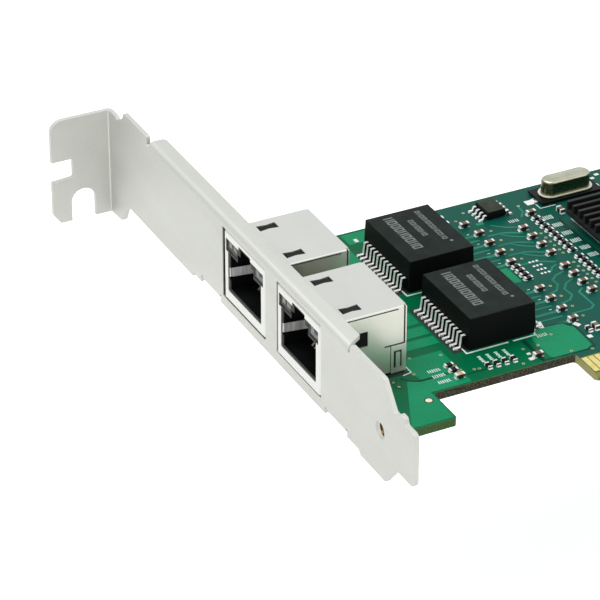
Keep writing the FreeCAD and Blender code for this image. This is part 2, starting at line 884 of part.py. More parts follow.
# Controller stack: solder balls, chip, thermal pad and heat sink
def save_controller():
    """The controller and what cools it, stacked on the board under the heat sink's middle."""
    x = sink_near + sink_length / 2
    y = sink_back - sink_width / 2
    balls = []
    for column in range(ball_count):
        for row in range(ball_count):
            ball_x = x + (column - (ball_count - 1) / 2) * ball_pitch
            ball_y = y + (row - (ball_count - 1) / 2) * ball_pitch
            balls.append(post(ball_x, ball_y, ball_radius, 0, ball_height))
    save("controller_solder_balls", balls)
    chip_top = ball_height + chip_height
    half = chip_size / 2
    chip_plan = rectangle((x - half, x + half), (y - half, y + half), 0.4)
    save("controller_chip", [slab(chip_plan, "z", ball_height, chip_top)])
    half = thermal_pad_size / 2
    pad_top = chip_top + thermal_pad_height
    save("thermal_pad", [block((x - half, x + half), (y - half, y + half), (chip_top, pad_top))])
    base_top = pad_top + sink_base_height
    sink_x = (sink_near, sink_far)
    front = sink_back - sink_width
    pieces = [block(sink_x, (front, sink_back), (pad_top, base_top))]
    fin_pitch = (sink_width - fin_thickness) / (fin_count - 1)
    for i in range(fin_count):
        low = front + i * fin_pitch
        pieces.append(block(sink_x, (low, low + fin_thickness), (pad_top, base_top + fin_height)))
    save("heat_sink", [joined(pieces)])


# Crystal: metal can with a rim, on a plastic seat with two bent-out leads
def save_crystal():
    """Quartz crystal lying along the board's back edge."""
    x, y = crystal_x, crystal_y
    rim_low = crystal_base_height
    rim_high = rim_low + crystal_rim_height
    seat_x = (x - crystal_base_length / 2, x + crystal_base_length / 2)
    seat_y = (y - crystal_base_width / 2, y + crystal_base_width / 2)
    seat = block(seat_x, seat_y, (gull_thickness, rim_low))
    rim = stadium(x, y, crystal_rim_length, crystal_rim_width, rim_low, rim_high)
    can = stadium(x, y, crystal_can_length, crystal_can_width, rim_high - 0.1, crystal_height)
    top_edges = [edge for edge in can.Edges if abs(edge.CenterOfMass.z - crystal_height) < 0.01]
    can = can.makeFillet(0.5, top_edges)
    save("crystal_can", [joined([rim, can])])
    save("crystal_seat", [seat])
    reach = crystal_lead_reach
    leads = [block((x - reach, x - 2.4), (y - 0.35, y + 0.35), (0, gull_thickness))]
    leads.append(block((x + 2.4, x + reach), (y - 0.35, y + 0.35), (0, gull_thickness)))
    save("crystal_leads", leads)


# Small two-ended parts
def two_ended(x, y, size, along):
    """Body and end caps of one part that lies along X or Y, with its middle at (x, y)."""
    length, width, height, cap = size
    body = block((cap - length / 2, length / 2 - cap), (-width / 2, width / 2), (0.03, height - 0.02))
    caps = [block((-length / 2, cap - length / 2), (-width / 2, width / 2), (0, height))]
    caps.append(block((length / 2 - cap, length / 2), (-width / 2, width / 2), (0, height)))
    solids = []
    for solid in [body] + caps:
        if along == "y":
            solid.rotate(V(0, 0, 0), V(0, 0, 1), 90)
        solids.append(moved(solid, x, y))
    return solids[0], solids[1:]


def save_two_ended(name, size, places):
    """Write all bodies of one kind as one node and all their end caps as another."""
    bodies = []
    terminals = []
    for x, y, along in places:
        body, caps = two_ended(x, y, size, along)
        bodies.append(body)
        terminals += caps
    save(name + "_bodies", bodies)
    save(name + "_terminals", terminals)


def row(x, first_y, pitch, count, along="x"):
    """Places of a row of parts that steps towards the board's front edge."""
    return [(x, first_y - i * pitch, along) for i in range(count)]


def capacitor_places():
    """Ceramic capacitors beside the modules, before the controller and along the hidden tail."""
    upper, lower = module_middles
    first, second, third, fourth = capacitor_pitches
    places = row(near_column, upper + 3.9, first, 4) + [(near_column - 0.9, upper + 7.8, "x")]
    places += row(near_column - 0.1, lower + 3.55, second, 4)
    places += row(far_column, upper + 1.95, third, 4) + row(far_column - 0.1, lower + 8.45, fourth, 4)
    places += [(sink_near - 4.15, sink_back + 5.4, "x"), (sink_near + 1.2, sink_back + 3.8, "y")]
    front = board_front + front_row_inset
    places += [(jack_length + 7.2, front, "x"), (module_x + 3.25, front - 0.1, "x")]
    places.append((far_column - 6.0, front + 3.4, "y"))
    places += row(tail_columns[0], tail_back, third, 8)
    tail_front = sink_back - sink_width - 4.3
    places += [(far_column + 1.9 + i * tail_capacitor_pitch, tail_front, "y") for i in range(8)]
    return places


def resistor_places():
    """Thick-film resistors: a stack of four, a pair and a row near the front edge, a few in the tail."""
    stack = module_middles[1] + resistor_stack_offset
    places = row(near_column + 0.1, stack, resistor_pitch, 4)
    front = board_front + front_stack_inset
    places += row(jack_length + 7.25, front + 0.53, 1.65, 2) + [(near_column + 0.8, front, "y")]
    front_row_y = board_front + 3.2
    places += [(front_row_x + i * front_row_pitch, front_row_y, "y") for i in range(4)]
    for column, drop, count in zip(tail_columns[2:], tail_resistor_drops, (4, 3)):
        places += row(column, tail_back - drop, tail_pitch, count)
    return places


def tiny_places():
    """Fine parts in a long column beside the heat sink, and their like on its far side."""
    upper, lower = tiny_pitches
    places = row(tiny_column, sink_back + tiny_start, upper, 9)
    places += row(tiny_column, sink_back - tiny_break, lower, 8)
    places += row(tail_columns[1], tail_back, tail_pitch, 10)
    return places


def save_tantalums():
    """Two tantalum capacitors by the regulator."""
    places = [(regulator_x - 4.0, regulator_y + 8.5, "x"), (regulator_x + 8.0, regulator_y - 9.0, "y")]
    save_two_ended("tantalum_capacitor", tantalum_size, places)


# Screws through the board into the ears
def bracket_screw(y):
    """Pan-head screw with a cross recess, its head on the board and its thread in the ear."""
    tip = board_bottom - sheet - screw_tip_below
    shank = post(screw_x, y, screw_radius, tip, 0)
    head = post(screw_x, y, screw_head_radius, 0, screw_head_height)
    top_edges = [edge for edge in head.Edges if abs(edge.CenterOfMass.z - screw_head_height) < 0.01]
    head = head.makeFillet(0.8, top_edges[:1])
    drive_z = (screw_head_height - screw_drive_depth, screw_head_height + 1)
    half = 0.3
    reach = screw_drive_radius
    cross = block((screw_x - reach, screw_x + reach), (y - half, y + half), drive_z)
    cross = cross.fuse(block((screw_x - half, screw_x + half), (y - reach, y + reach), drive_z))
    return joined([shank, head]).cut(cross)


save("bracket", [bracket()])
save("circuit_board", [circuit_board()])
save("edge_fingers_top", edge_fingers(0))
save("edge_fingers_bottom", edge_fingers(board_bottom - finger_thickness))
for index, middle in enumerate(jack_middles):
    save_jack(index + 1, middle)
save_transformers()
save_memory_chip()
save_regulator()
save_controller()
save_crystal()
save_two_ended("capacitor", capacitor_size, capacitor_places())
save_two_ended("resistor", resistor_size, resistor_places())
save_two_ended("tiny_part", tiny_size, tiny_places())
save_tantalums()
save("bracket_screws", [bracket_screw(y) for y in ear_places])
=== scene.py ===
import math

import bmesh
import bpy
import numpy as np
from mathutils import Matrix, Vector


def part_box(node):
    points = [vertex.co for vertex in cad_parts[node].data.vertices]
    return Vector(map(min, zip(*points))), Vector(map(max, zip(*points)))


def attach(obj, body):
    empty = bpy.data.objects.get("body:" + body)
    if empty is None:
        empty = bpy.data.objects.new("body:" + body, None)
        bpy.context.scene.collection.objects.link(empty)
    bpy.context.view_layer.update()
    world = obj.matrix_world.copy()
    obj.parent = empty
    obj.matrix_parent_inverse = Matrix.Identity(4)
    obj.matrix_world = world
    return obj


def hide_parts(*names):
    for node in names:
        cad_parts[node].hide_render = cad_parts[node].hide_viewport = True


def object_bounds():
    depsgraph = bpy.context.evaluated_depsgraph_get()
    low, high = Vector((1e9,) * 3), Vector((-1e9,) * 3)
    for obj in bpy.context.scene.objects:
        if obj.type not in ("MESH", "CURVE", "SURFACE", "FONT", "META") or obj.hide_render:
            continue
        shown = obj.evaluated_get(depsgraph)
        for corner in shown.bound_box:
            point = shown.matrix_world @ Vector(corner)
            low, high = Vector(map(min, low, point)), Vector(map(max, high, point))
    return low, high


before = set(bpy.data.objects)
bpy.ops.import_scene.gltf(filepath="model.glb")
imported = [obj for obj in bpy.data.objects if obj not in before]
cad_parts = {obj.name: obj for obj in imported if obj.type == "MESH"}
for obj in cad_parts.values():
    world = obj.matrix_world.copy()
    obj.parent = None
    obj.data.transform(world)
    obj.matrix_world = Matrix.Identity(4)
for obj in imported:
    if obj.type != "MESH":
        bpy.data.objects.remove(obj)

cad_low, cad_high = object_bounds()


# Bracket. One blank of cold-rolled steel, pierced and folded, then zinc plated, so its flats have a
# soft satin sheen that drifts a little from place to place, and its cut edges catch the light.
mm = 0.001
merge_distance = 0.0005 * mm


def linear(colour):
    """sRGB hex to linear light: c / 12.92 up to 0.04045, above it ((c + 0.055) / 1.055) ^ 2.4."""
    c = np.array([int(colour[i:i + 2], 16) for i in (1, 3, 5)]) / 255
    return (*np.where(c <= 0.04045, c / 12.92, ((c + 0.055) / 1.055) ** 2.4), 1.0)


def add(tree, kind, values, links):
    """Adds one node, sets its properties and input values, and links its other inputs."""
    made = tree.nodes.new(kind)
    for name, value in values.items():
        if isinstance(name, int) or name in made.inputs:
            made.inputs[name].default_value = value
        else:
            setattr(made, name, value)
    for name, source in links.items():
        tree.links.new(source, made.inputs[name])
    return made


def finish(name, dark, light, drift, grain, rough, relief, stretch=(1, 1, 1), sides=None,
           **shader_values):
    """Finish whose colour goes from dark to light over patches of the size drift in mm. A finer
    grain, in mm, moves the roughness between two values and stands up by relief in mm. Stretch
    widens both along an axis. Sides is a colour and three axes, 1 or 0 each: faces that look along
    an axis with a 1 take that colour, as painted shade or painted reflection."""
    material = bpy.data.materials.new(name)
    material.use_nodes = True
    tree = material.node_tree
    shader = tree.nodes["Principled BSDF"]
    noise_span = {1: 0.3, 2: 0.7}
    turned_span = {1: 0.65, 2: 0.92}
    place = add(tree, "ShaderNodeTexCoord", {}, {}).outputs["Object"]
    squeeze = {"Scale": [1 / s for s in stretch]}
    place = add(tree, "ShaderNodeMapping", squeeze, {"Vector": place}).outputs[0]
    broad = {"Scale": 1 / (drift * mm), "Detail": 3.0}
    patches = add(tree, "ShaderNodeTexNoise", broad, {"Vector": place}).outputs[0]
    amount = add(tree, "ShaderNodeMapRange", noise_span, {0: patches}).outputs[0]
    colours = {"data_type": "RGBA", 6: linear(dark), 7: linear(light)}
    mixed = add(tree, "ShaderNodeMix", colours, {0: amount}).outputs[2]
    # Painted shade or reflection: faces that look along the given axes take the side colour.
    if sides:
        painted_side_colour, axes = sides
        normal = add(tree, "ShaderNodeTexCoord", {}, {}).outputs["Normal"]
        kept = {"operation": "MULTIPLY", 1: axes}
        along_axes = add(tree, "ShaderNodeVectorMath", kept, {0: normal}).outputs[0]
        share = add(tree, "ShaderNodeVectorMath", {"operation": "LENGTH"}, {0: along_axes})
        aside = add(tree, "ShaderNodeMapRange", turned_span, {0: share.outputs["Value"]}).outputs[0]
        colours = {"data_type": "RGBA", 7: linear(painted_side_colour)}
        mixed = add(tree, "ShaderNodeMix", colours, {0: aside, 6: mixed}).outputs[2]
    tree.links.new(mixed, shader.inputs["Base Color"])
    narrow = {"Scale": 1 / (grain * mm), "Detail": 2.0}
    fine = add(tree, "ShaderNodeTexNoise", narrow, {"Vector": place}).outputs[0]
    dull_span = {**noise_span, 3: rough[0], 4: rough[1]}
    dull = add(tree, "ShaderNodeMapRange", dull_span, {0: fine}).outputs[0]
    tree.links.new(dull, shader.inputs["Roughness"])
    raised = add(tree, "ShaderNodeBump", {"Distance": relief * mm}, {"Height": fine}).outputs[0]
    tree.links.new(raised, shader.inputs["Normal"])
    for socket, value in shader_values.items():
        shader.inputs[socket.replace("_", " ")].default_value = value
    return material


def show(piece, material):
    """Gives a new piece its finish and its slot, and lets it ride on the card."""
    piece.data.materials.clear()
    piece.data.materials.append(material)
    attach(piece, "root")


def softened(node, material, edge):
    """Copy of a solid's mesh with loose triangles merged and flats dissolved. Every edge sharper
    than 35 degrees is rounded over by a width in mm. The copy stands for the solid."""
    flat, sharp = math.radians(1), math.radians(35)
    shape = bmesh.new()
    shape.from_mesh(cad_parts[node].data)
    bmesh.ops.remove_doubles(shape, verts=shape.verts, dist=merge_distance)
    bmesh.ops.dissolve_limit(shape, angle_limit=flat, verts=shape.verts, edges=shape.edges)
    for face in shape.faces:
        face.smooth = True
    mesh = bpy.data.meshes.new(node + "_finished")
    shape.to_mesh(mesh)
    shape.free()
    if "custom_normal" in mesh.attributes:
        mesh.attributes.remove(mesh.attributes["custom_normal"])
    piece = bpy.data.objects.new(node + "_finished", mesh)
    bpy.context.scene.collection.objects.link(piece)
    rounding = piece.modifiers.new("rounded_edges", "BEVEL")
    rounding.width = edge * mm
    rounding.segments = 2
    rounding.limit_method = "ANGLE"
    rounding.angle_limit = sharp
    rounding.harden_normals = True
    rounding.use_clamp_overlap = False
    show(piece, material)
    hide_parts(node)


# Zinc over rolled steel: pale and satin. Rolling leaves streaks along the strip, drawn coarse
# enough to show.
zinc_plate = finish(
    "zinc_plated_steel", "#C5C6C0", "#CCCDC7", drift=9.0, grain=0.35, rough=(0.5, 0.6),
    relief=0.001, stretch=(1, 3, 1), Metallic=0.75
)
softened("bracket", zinc_plate, edge=0.09)


# Bracket screws. Two pan-head screws, headed and rolled from steel wire and zinc plated. They hold
# the board down on the bracket's ears.

# Zinc on a small form: brighter than on the strip, with finer patches.
screw_zinc = finish(
    "zinc_plated_screw", "#A9AAA6", "#C6C7C3", drift=1.2, grain=0.2, rough=(0.25, 0.4),
    relief=0.003, Metallic=1.0
)
softened("bracket_screws", screw_zinc, edge=0.06)


# Circuit board. Glass-epoxy laminate with copper on both sides under green solder mask, routed to
# its outline. Bare laminate under the mask looks deep green, and inner copper planes look teal.
tongue_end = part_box("bracket")[0].y / mm
board_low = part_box("circuit_board")[0]
plane_start, plane_blur = 44.5, 0.05
flat_face = 0.97

# Cured epoxy mask: smooth and glossy, and so thin that what lies under it sets its green.
mask = finish(
    "solder_mask_over_laminate", "#00603B", "#006E46", drift=14.0, grain=0.5, rough=(0.28, 0.36),
    relief=0.0005, Specular_IOR_Level=0.08
)
mask_tree = mask.node_tree
mask_colour = mask_tree.nodes["Principled BSDF"].inputs["Base Color"]
coordinates = add(mask_tree, "ShaderNodeTexCoord", {}, {}).outputs
place = add(mask_tree, "ShaderNodeSeparateXYZ", {}, {0: coordinates["Object"]}).outputs
normal = add(mask_tree, "ShaderNodeSeparateXYZ", {}, {0: coordinates["Normal"]}).outputs
plane_span = {1: (plane_start - plane_blur) * mm, 2: (plane_start + plane_blur) * mm}
over_plane = add(mask_tree, "ShaderNodeMapRange", plane_span, {0: place[0]}).outputs[0]
teal = {"data_type": "RGBA", 7: linear("#0B5648")}
green_links = {0: over_plane, 6: mask_colour.links[0].from_socket}
flat_colour = add(mask_tree, "ShaderNodeMix", teal, green_links).outputs[2]

# The routed edges show dark glass in short streaks. They are greener along the near edge of tab and
# tongue, and paler where they look left as a painted highlight. The tongue's bevel is bare olive
# resin, and the same olive on the rounded edges is a painted highlight.
glass_bundle = 0.3
streaky = {"Scale": 1 / (glass_bundle * mm), "Detail": 4.0}
streak_span = {1: 0.38, 2: 0.66}
streaks = add(mask_tree, "ShaderNodeTexNoise", streaky, {"Vector": coordinates["Object"]})
amount = add(mask_tree, "ShaderNodeMapRange", streak_span, {0: streaks.outputs[0]})
glass = {"data_type": "RGBA", 6: linear("#221F16"), 7: linear("#5E5C4A")}
edge_colour = add(mask_tree, "ShaderNodeMix", glass, {0: amount.outputs[0]}).outputs[2]
upright = add(mask_tree, "ShaderNodeMath", {"operation": "ABSOLUTE"}, {0: normal[2]}).outputs[0]

# Each part of an edge: what it reads, the span over which its colour comes in, and the colour.
edge_parts = (
    (place[1], {1: (tongue_end + 18.0) * mm, 2: (tongue_end + 17.5) * mm, 4: 0.6}, "#4F7A3E"),
    # Painted highlight: edges that look left are paler.
    (normal[0], {1: -0.7, 2: -0.95}, "#A3A06A"),
    # Bare olive resin on the tongue's bevel, and painted highlight on the rounded edges.
    (upright, {1: 0.6, 2: 0.9}, "#8C8A44"),
)
for source, span, colour in edge_parts:
    amount = add(mask_tree, "ShaderNodeMapRange", span, {0: source}).outputs[0]
    part_colour = {"data_type": "RGBA", 7: linear(colour)}
    edge_links = {0: amount, 6: edge_colour}
    edge_colour = add(mask_tree, "ShaderNodeMix", part_colour, edge_links).outputs[2]
is_edge = {"operation": "LESS_THAN", 1: flat_face}
routed = add(mask_tree, "ShaderNodeMath", is_edge, {0: upright}).outputs[0]
board_links = {0: routed, 6: flat_colour, 7: edge_colour}
board_colour = add(mask_tree, "ShaderNodeMix", {"data_type": "RGBA"}, board_links).outputs[2]
mask_tree.links.new(board_colour, mask_colour)
softened("circuit_board", mask, edge=0.05)


# Copper under the mask. Poured areas and tracks, etched from foil, lift the mask by some hundredths
# of a millimetre and show through it as a lighter green, with dark gaps between them.
def on_board(places):
    """Metres in the frame of places in mm: x from the bracket's face, y from its tongue's end."""
    return (np.asarray(places, float).reshape(-1, 2) + (0, tongue_end)) * mm


def new_piece(name, parts, material):
    """One object from several (vertices, faces) parts. Each part's faces count on from the last."""
    starts = np.cumsum([0] + [len(vertices) for vertices, _ in parts]).tolist()
    vertices = np.concatenate([vertices for vertices, _ in parts])
    faces = []
    for (_, part), start in zip(parts, starts):
        faces += [[int(i) + start for i in face] for face in part]
    mesh = bpy.data.meshes.new(name)
    mesh.from_pydata(vertices.tolist(), [], faces)
    mesh.validate()
    piece = bpy.data.objects.new(name, mesh)
    bpy.context.scene.collection.objects.link(piece)
    show(piece, material)


def patch(corners, top, bottom=0.0):
    """Flat plate: its outline at two heights in mm, joined by one wall face for each edge of it."""
    flat = on_board(corners)
    n = len(flat)
    area = np.sum(flat[:, 0] * np.roll(flat[:, 1], -1) - np.roll(flat[:, 0], -1) * flat[:, 1])
    flat = flat if area > 0 else flat[::-1]
    heights = np.repeat([bottom * mm, top * mm], n)[:, None]
    vertices = np.hstack([np.tile(flat, (2, 1)), heights])
    low = np.arange(n)
    next_low = np.roll(low, -1)
    walls = np.stack([low, next_low, next_low + n, low + n], 1)
    return vertices, [tuple(low[::-1]), tuple(low + n)] + [tuple(wall) for wall in walls]


def track(points, width, top, bottom=0.0):
    """Copper track: the two sides of its centre line are the line plus and minus half the width
    along the mean of the neighbouring normals, divided by its squared length at a corner."""
    line = np.asarray(points, float)
    run = np.diff(line, axis=0)
    run /= np.linalg.norm(run, axis=1, keepdims=True)
    normal = np.stack([-run[:, 1], run[:, 0]], 1)
    mean = (np.vstack([normal[:1], normal]) + np.vstack([normal, normal[-1:]])) / 2
    side = mean / np.sum(mean ** 2, axis=1, keepdims=True) * width / 2
    return patch(np.vstack([line + side, (line - side)[::-1]]), top, bottom)


# Mask over copper: the same gloss, and a clear bright green over the bright foil.
pour_mask = finish(
    "solder_mask_over_copper", "#0C895B", "#169465", drift=10.0, grain=0.6, rough=(0.26, 0.34),
    relief=0.0005, Specular_IOR_Level=0.08
)
pour_height = 0.035
pours = [
    # Painted shadow: the first pour's edge from (8.7, 16.75) to (14.9, 29.8) runs along the jack's
    # shadow, and the darker bare mask beyond it stands for that shadow.
    [(8.7, 16.75), (16.7, 16.75), (16.9, 25.0), (24.7, 25.0), (24.7, 28.6), (16.9, 28.6),
     (14.9, 29.8)],
    [(17.2, 29.2), (24.7, 29.2), (24.7, 35.9), (16.9, 35.9), (16.9, 31.0)],
    [(17.0, 38.2), (25.8, 38.2), (25.8, 40.7), (17.0, 40.7)],
    [(17.0, 41.6), (25.8, 41.6), (25.8, 44.4), (17.0, 44.4)],
    [(17.0, 45.3), (25.8, 45.3), (25.8, 49.2), (17.0, 49.2)],
    [(17.0, 56.5), (25.6, 56.5), (26.6, 58.0), (26.6, 78.3), (17.0, 78.3)],
    [(27.4, 74.6), (46.0, 74.6), (46.0, 78.3), (27.4, 78.3)],
    [(44.1, 34.2), (47.9, 33.8), (49.0, 32.0), (48.8, 26.0), (47.3, 25.1), (42.7, 24.9),
     (40.8, 24.85), (40.4, 26.05), (40.4, 31.6), (41.2, 34.2)],
    [(47.1, 49.6), (48.7, 49.6), (48.7, 54.9), (47.1, 54.9)],
    [(51.4, 70.4), (52.9, 70.4), (52.9, 71.2), (51.4, 71.2)],
    [(88.0, 68.0), (103.0, 68.0), (103.0, 78.0), (88.0, 78.0)],
    [(112.0, 60.5), (126.5, 60.5), (126.5, 78.0), (112.0, 78.0)],
    [(108.0, 26.5), (126.5, 26.5), (126.5, 40.0), (118.5, 40.0), (118.5, 46.0), (108.0, 46.0)],
]
under_pours = [
    [(18.5, 26.5), (43.0, 26.5), (43.0, 51.5), (18.5, 51.5)],
    [(18.5, 53.5), (43.0, 53.5), (43.0, 77.5), (18.5, 77.5)],
    [(47.0, 26.0), (124.5, 26.0), (124.5, 33.5), (47.0, 33.5)],
    [(66.5, 38.0), (94.5, 38.0), (94.5, 64.5), (66.5, 64.5)],
]
under = board_low.z / mm
areas = [patch(corners, pour_height) for corners in pours]
areas += [patch(corners, under, under - pour_height) for corners in under_pours]
new_piece("copper_pours", areas, pour_mask)

# Mask over tracks: a shade between the two, because the mask runs thinner over narrow copper.
track_mask = finish(
    "solder_mask_over_tracks", "#1E7762", "#2A8A71", drift=5.0, grain=0.6, rough=(0.26, 0.34),
    relief=0.0005, Specular_IOR_Level=0.08
)
track_height = 0.03
module_side = 43.6
part_rows = [67.4 - i * 3.85 for i in range(4)] + [45.6 - i * 3.77 for i in range(4)]
bent_tracks = [
    [(57.2, 49.4), (55.1, 48.7), (53.8, 47.6), (53.9, 45.9), (52.6, 44.1), (51.0, 43.7)],
    [(57.2, 46.4), (55.4, 45.6), (54.1, 44.0), (54.3, 41.7), (53.1, 40.4), (51.0, 39.9)],
    [(57.2, 43.0), (55.9, 42.0), (55.9, 37.0), (54.9, 36.2), (51.0, 36.2)],
    [(54.9, 50.2), (56.2, 51.6), (57.3, 52.0)],
    [(61.6, 73.6), (61.5, 71.2), (60.2, 69.6)],
]
tracks = []
for y in part_rows:
    tracks.append(track([(module_side, y), (49.6, y)], width=0.75, top=track_height))
    y -= 1.75
    tracks.append(track([(module_side, y), (49.2, y)], width=0.45, top=track_height))
for y in part_rows[:4]:
    lower = [(51.2, y - 1.2), (54.2, y - 1.3), (55.7, y - 1.9), (57.6, y - 3.0)]
    upper = [(53.6, y + 2.2), (54.6, y + 1.2), (55.9, y + 0.2), (57.6, y - 0.6)]
    tracks.append(track(lower, width=0.5, top=track_height))
    tracks.append(track(upper, width=0.4, top=track_height))
tracks += [track(points, width=0.42, top=track_height) for points in bent_tracks]
for i in range(9):
    x, y = 60.4 + i * 4.0, 40.0 + i * 2.6
    tracks.append(track([(95.0, y), (97.6, y)], width=0.4, top=track_height))
    tracks.append(track([(x, 31.0), (x, 24.9)], width=0.5, top=track_height))
for i in range(12):
    x = 97.0 + i * 0.9
    points = [(x, 28.0 + i * 0.7), (x, 36.0), (x + 3.0, 39.0)]
    tracks.append(track(points, width=0.3, top=track_height))
under_track = {"top": under, "bottom": under - track_height}
for i in range(8):
    start, bend, end, x = 40.0 + i * 2.6, 52.0 + i * 0.8, 44.0 + i * 1.9, 98.0 + i * 1.4
    fan = [(43.5, start), (bend, start), (bend + 4.0, end), (66.5, end)]
    tracks.append(track(fan, width=0.5, **under_track))
    tracks.append(track([(x, 34.0), (x, 60.0 - i * 2.2)], width=0.4, **under_track))
new_piece("copper_tracks", tracks, track_mask)

# Mask over gaps: nearly black green lines where no copper lies below, drawn as wide as they look in
# the light, and a darker field beside the heat sink as painted shadow.
gap_and_shadow_mask = finish(
    "gap_lines_and_painted_shadow", "#053A2B", "#0A4636", drift=8.0, grain=0.6, rough=(0.28, 0.36),
    relief=0.0005, Specular_IOR_Level=0.08
)
gap_height = 0.045
gap_lines = (
    ([(14.4, 31.2), (15.4, 29.7), (16.9, 29.0), (21.0, 28.95)], 0.28),
    ([(25.2, 27.25), (28.9, 27.25)], 0.22),
    ([(38.9, 32.3), (38.9, 25.0)], 0.75),
    ([(39.4, 25.2), (42.5, 25.05), (47.6, 25.0), (49.2, 25.6), (49.4, 32.2), (48.1, 34.3),
      (43.8, 34.7)], 0.34),
)
gaps = [track(points, width, gap_height) for points, width in gap_lines]
# Painted shadow: a darker field of mask beside the heat sink.
gaps.append(patch([(65.3, 36.6), (66.4, 36.6), (66.4, 66.5), (65.3, 64.8)], gap_height))
new_piece("mask_gap_lines_and_shadow", gaps, gap_and_shadow_mask)


# Bare laminate. The mask is left off round the gold fingers, on both sides of the tongue, so the
# cured resin of the board itself shows between them.
def sheet(left, right, near, far, top, bottom=0.0):
    """Rectangular plate between two places along x and two along y, in mm."""
    return patch([(left, near), (right, near), (right, far), (left, far)], top, bottom)


# Epoxy over glass cloth: olive, dull and a little uneven.
bare_laminate = finish(
    "bare_olive_laminate", "#7C7A36", "#98954C", drift=3.0, grain=0.3, rough=(0.45, 0.6),
    relief=0.001, Specular_IOR_Level=0.2
)
opening_spans = ((44.75, 58.85), (60.98, 107.11), (109.24, 123.36))
opening_near, opening_far = 18.35, 23.15
resin_height = 0.02
mask_openings = []
for left, right in opening_spans:
    span = (left, right, opening_near, opening_far)
    mask_openings += [sheet(*span, resin_height), sheet(*span, under, under - resin_height)]
new_piece("mask_openings", mask_openings, bare_laminate)


# Plated holes, fingers and test pads. Drilled holes with gold over nickel on copper show as a small
# gold ring round a dark hole. A bare target for assembly lies on the front tab, and an open copper
# ring round the hole in the board's corner.
def ring(x, y, outer, inner, top, sides=14):
    """Flat ring: a square section carried round a circle, as a grid of section points by angles."""
    turn = np.linspace(0, 2 * math.pi, sides, endpoint=False)[:, None]
    section = np.array([(inner, 0.0), (outer, 0.0), (outer, top), (inner, top)])
    centre = on_board([(x, y)])[0]
    radius = section[:, 0] * mm
    height = section[:, 1] * mm + 0 * turn
    plan = (centre[0] + radius * np.cos(turn), centre[1] + radius * np.sin(turn))
    grid = np.stack([*plan, height], 2)
    cell = np.arange(sides)[:, None] * 4 + np.arange(4)
    ahead = np.roll(cell, -1, axis=0)
    quads = np.stack([cell, ahead, np.roll(ahead, -1, axis=1), np.roll(cell, -1, axis=1)], 2)
    return grid.reshape(-1, 3), [tuple(quad[::-1]) for quad in quads.reshape(-1, 4)]


def disc(x, y, radius, top, bottom=0.0, sides=14):
    """Round plate: radius times cosine and sine of equal steps round the place."""
    turn = np.linspace(0, 2 * math.pi, sides, endpoint=False)
    return patch(np.stack([x + radius * np.cos(turn), y + radius * np.sin(turn)], 1), top, bottom)


def coated(node, material):
    """Gives a solid's own mesh its finish."""
    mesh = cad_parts[node].data
    mesh.materials.clear()
    mesh.materials.append(material)


# Hard gold over nickel: pale warm yellow, smooth and bright.
gold_plate = finish(
    "gold_plate", "#DDCB74", "#F2E69C", drift=1.5, grain=0.25, rough=(0.22, 0.34), relief=0.001,
    Metallic=0.8
)
coated("edge_fingers_top", gold_plate)
coated("edge_fingers_bottom", gold_plate)

# Immersion gold round a hole: so thin that it looks greenish grey beside the fingers.
via_plate = finish(
    "thin_gold_on_holes", "#8E9668", "#C6CA9A", drift=1.0, grain=0.25, rough=(0.35, 0.5),
    relief=0.001
)
via_places = [
    (60.4, y) for y in (62.8, 61.1, 59.5, 58.0, 56.3, 55.0, 51.3, 49.7, 48.0, 46.6, 45.0, 43.6)
]
via_places += [(52.4, y) for y in (46.0, 42.2, 38.4, 34.8)]
via_places += [(52.7, y) for y in (67.65, 63.96, 60.1, 56.5)]
via_places += [(48.7, 73.6), (51.4, 75.65), (61.8, 73.4), (44.2, 31.9), (40.4, 29.85), (37.5, 29.9)]
via_places += [(35.2, 25.85), (44.6, 25.7), (48.2, 24.75), (26.9, 28.1), (24.6, 30.5), (24.7, 29.0)]
via_places += [(24.0, 34.6), (17.0, 31.25), (18.7, 36.0), (12.7, 30.5), (12.9, 28.9), (27.8, 27.9)]
via_places += [(99.0 + 2.1 * i, 36.5 + (i % 3) * 1.4) for i in range(8)]
via_places += [(96.5, 40.0 + 2.6 * i) for i in range(9)]
via_places += [(58.0 + 6.0 * i, 27.5) for i in range(10)]
via_radius, via_hole, via_height = 0.29, 0.12, 0.05
vias = [ring(x, y, via_radius, via_hole, via_height) for x, y in via_places]
vias += [disc(x, y, via_radius, under, under - via_height) for x, y in via_places]
new_piece("plated_holes", vias, via_plate)

# Down a drilled hole no light gets back to the eye: a dull near black. The same near black, as
# painted shade, lies on the board close under the jack and the modules' leads.
hole_and_shade_dark = finish(
    "hole_and_painted_shade_black", "#0A0F0A", "#12180F", drift=1.0, grain=0.3, rough=(0.5, 0.6), relief=0.001
)
target_place, target_radius = (15.35, 23.0), 0.6
cleared_vias = ((24.6, 30.5), (12.7, 30.5), (12.9, 28.9))
centres = [disc(x, y, via_hole, top=0.042) for x, y in via_places]
centres += [disc(x, y, via_hole, top=under, bottom=under - 0.056) for x, y in via_places]
centres += [ring(x, y, outer=0.52, inner=via_radius, top=0.04) for x, y in cleared_vias]
centres.append(ring(*target_place, outer=0.82, inner=target_radius, top=0.046))
# Painted shade under the jack's edge.
centres.append(sheet(10.6, 16.7, 32.05, 32.7, top=0.05))
# Painted shade under the modules' leads.
centres += [sheet(26.2, 29.2, y - 8.2, y + 7.9, top=0.02) for y in (63.5, 42.05)]
new_piece("dark_holes_and_shade", centres, hole_and_shade_dark)

# Bare gold on a wide flat pad: creamy white, a painted reflection of the room.
cream_gold = finish(
    "bare_target_pad", "#F1E6C4", "#FBF5DD", drift=1.0, grain=0.3, rough=(0.35, 0.5), relief=0.001,
    Metallic=0.2
)
new_piece("target", [disc(*target_place, target_radius, top=0.05)], cream_gold)

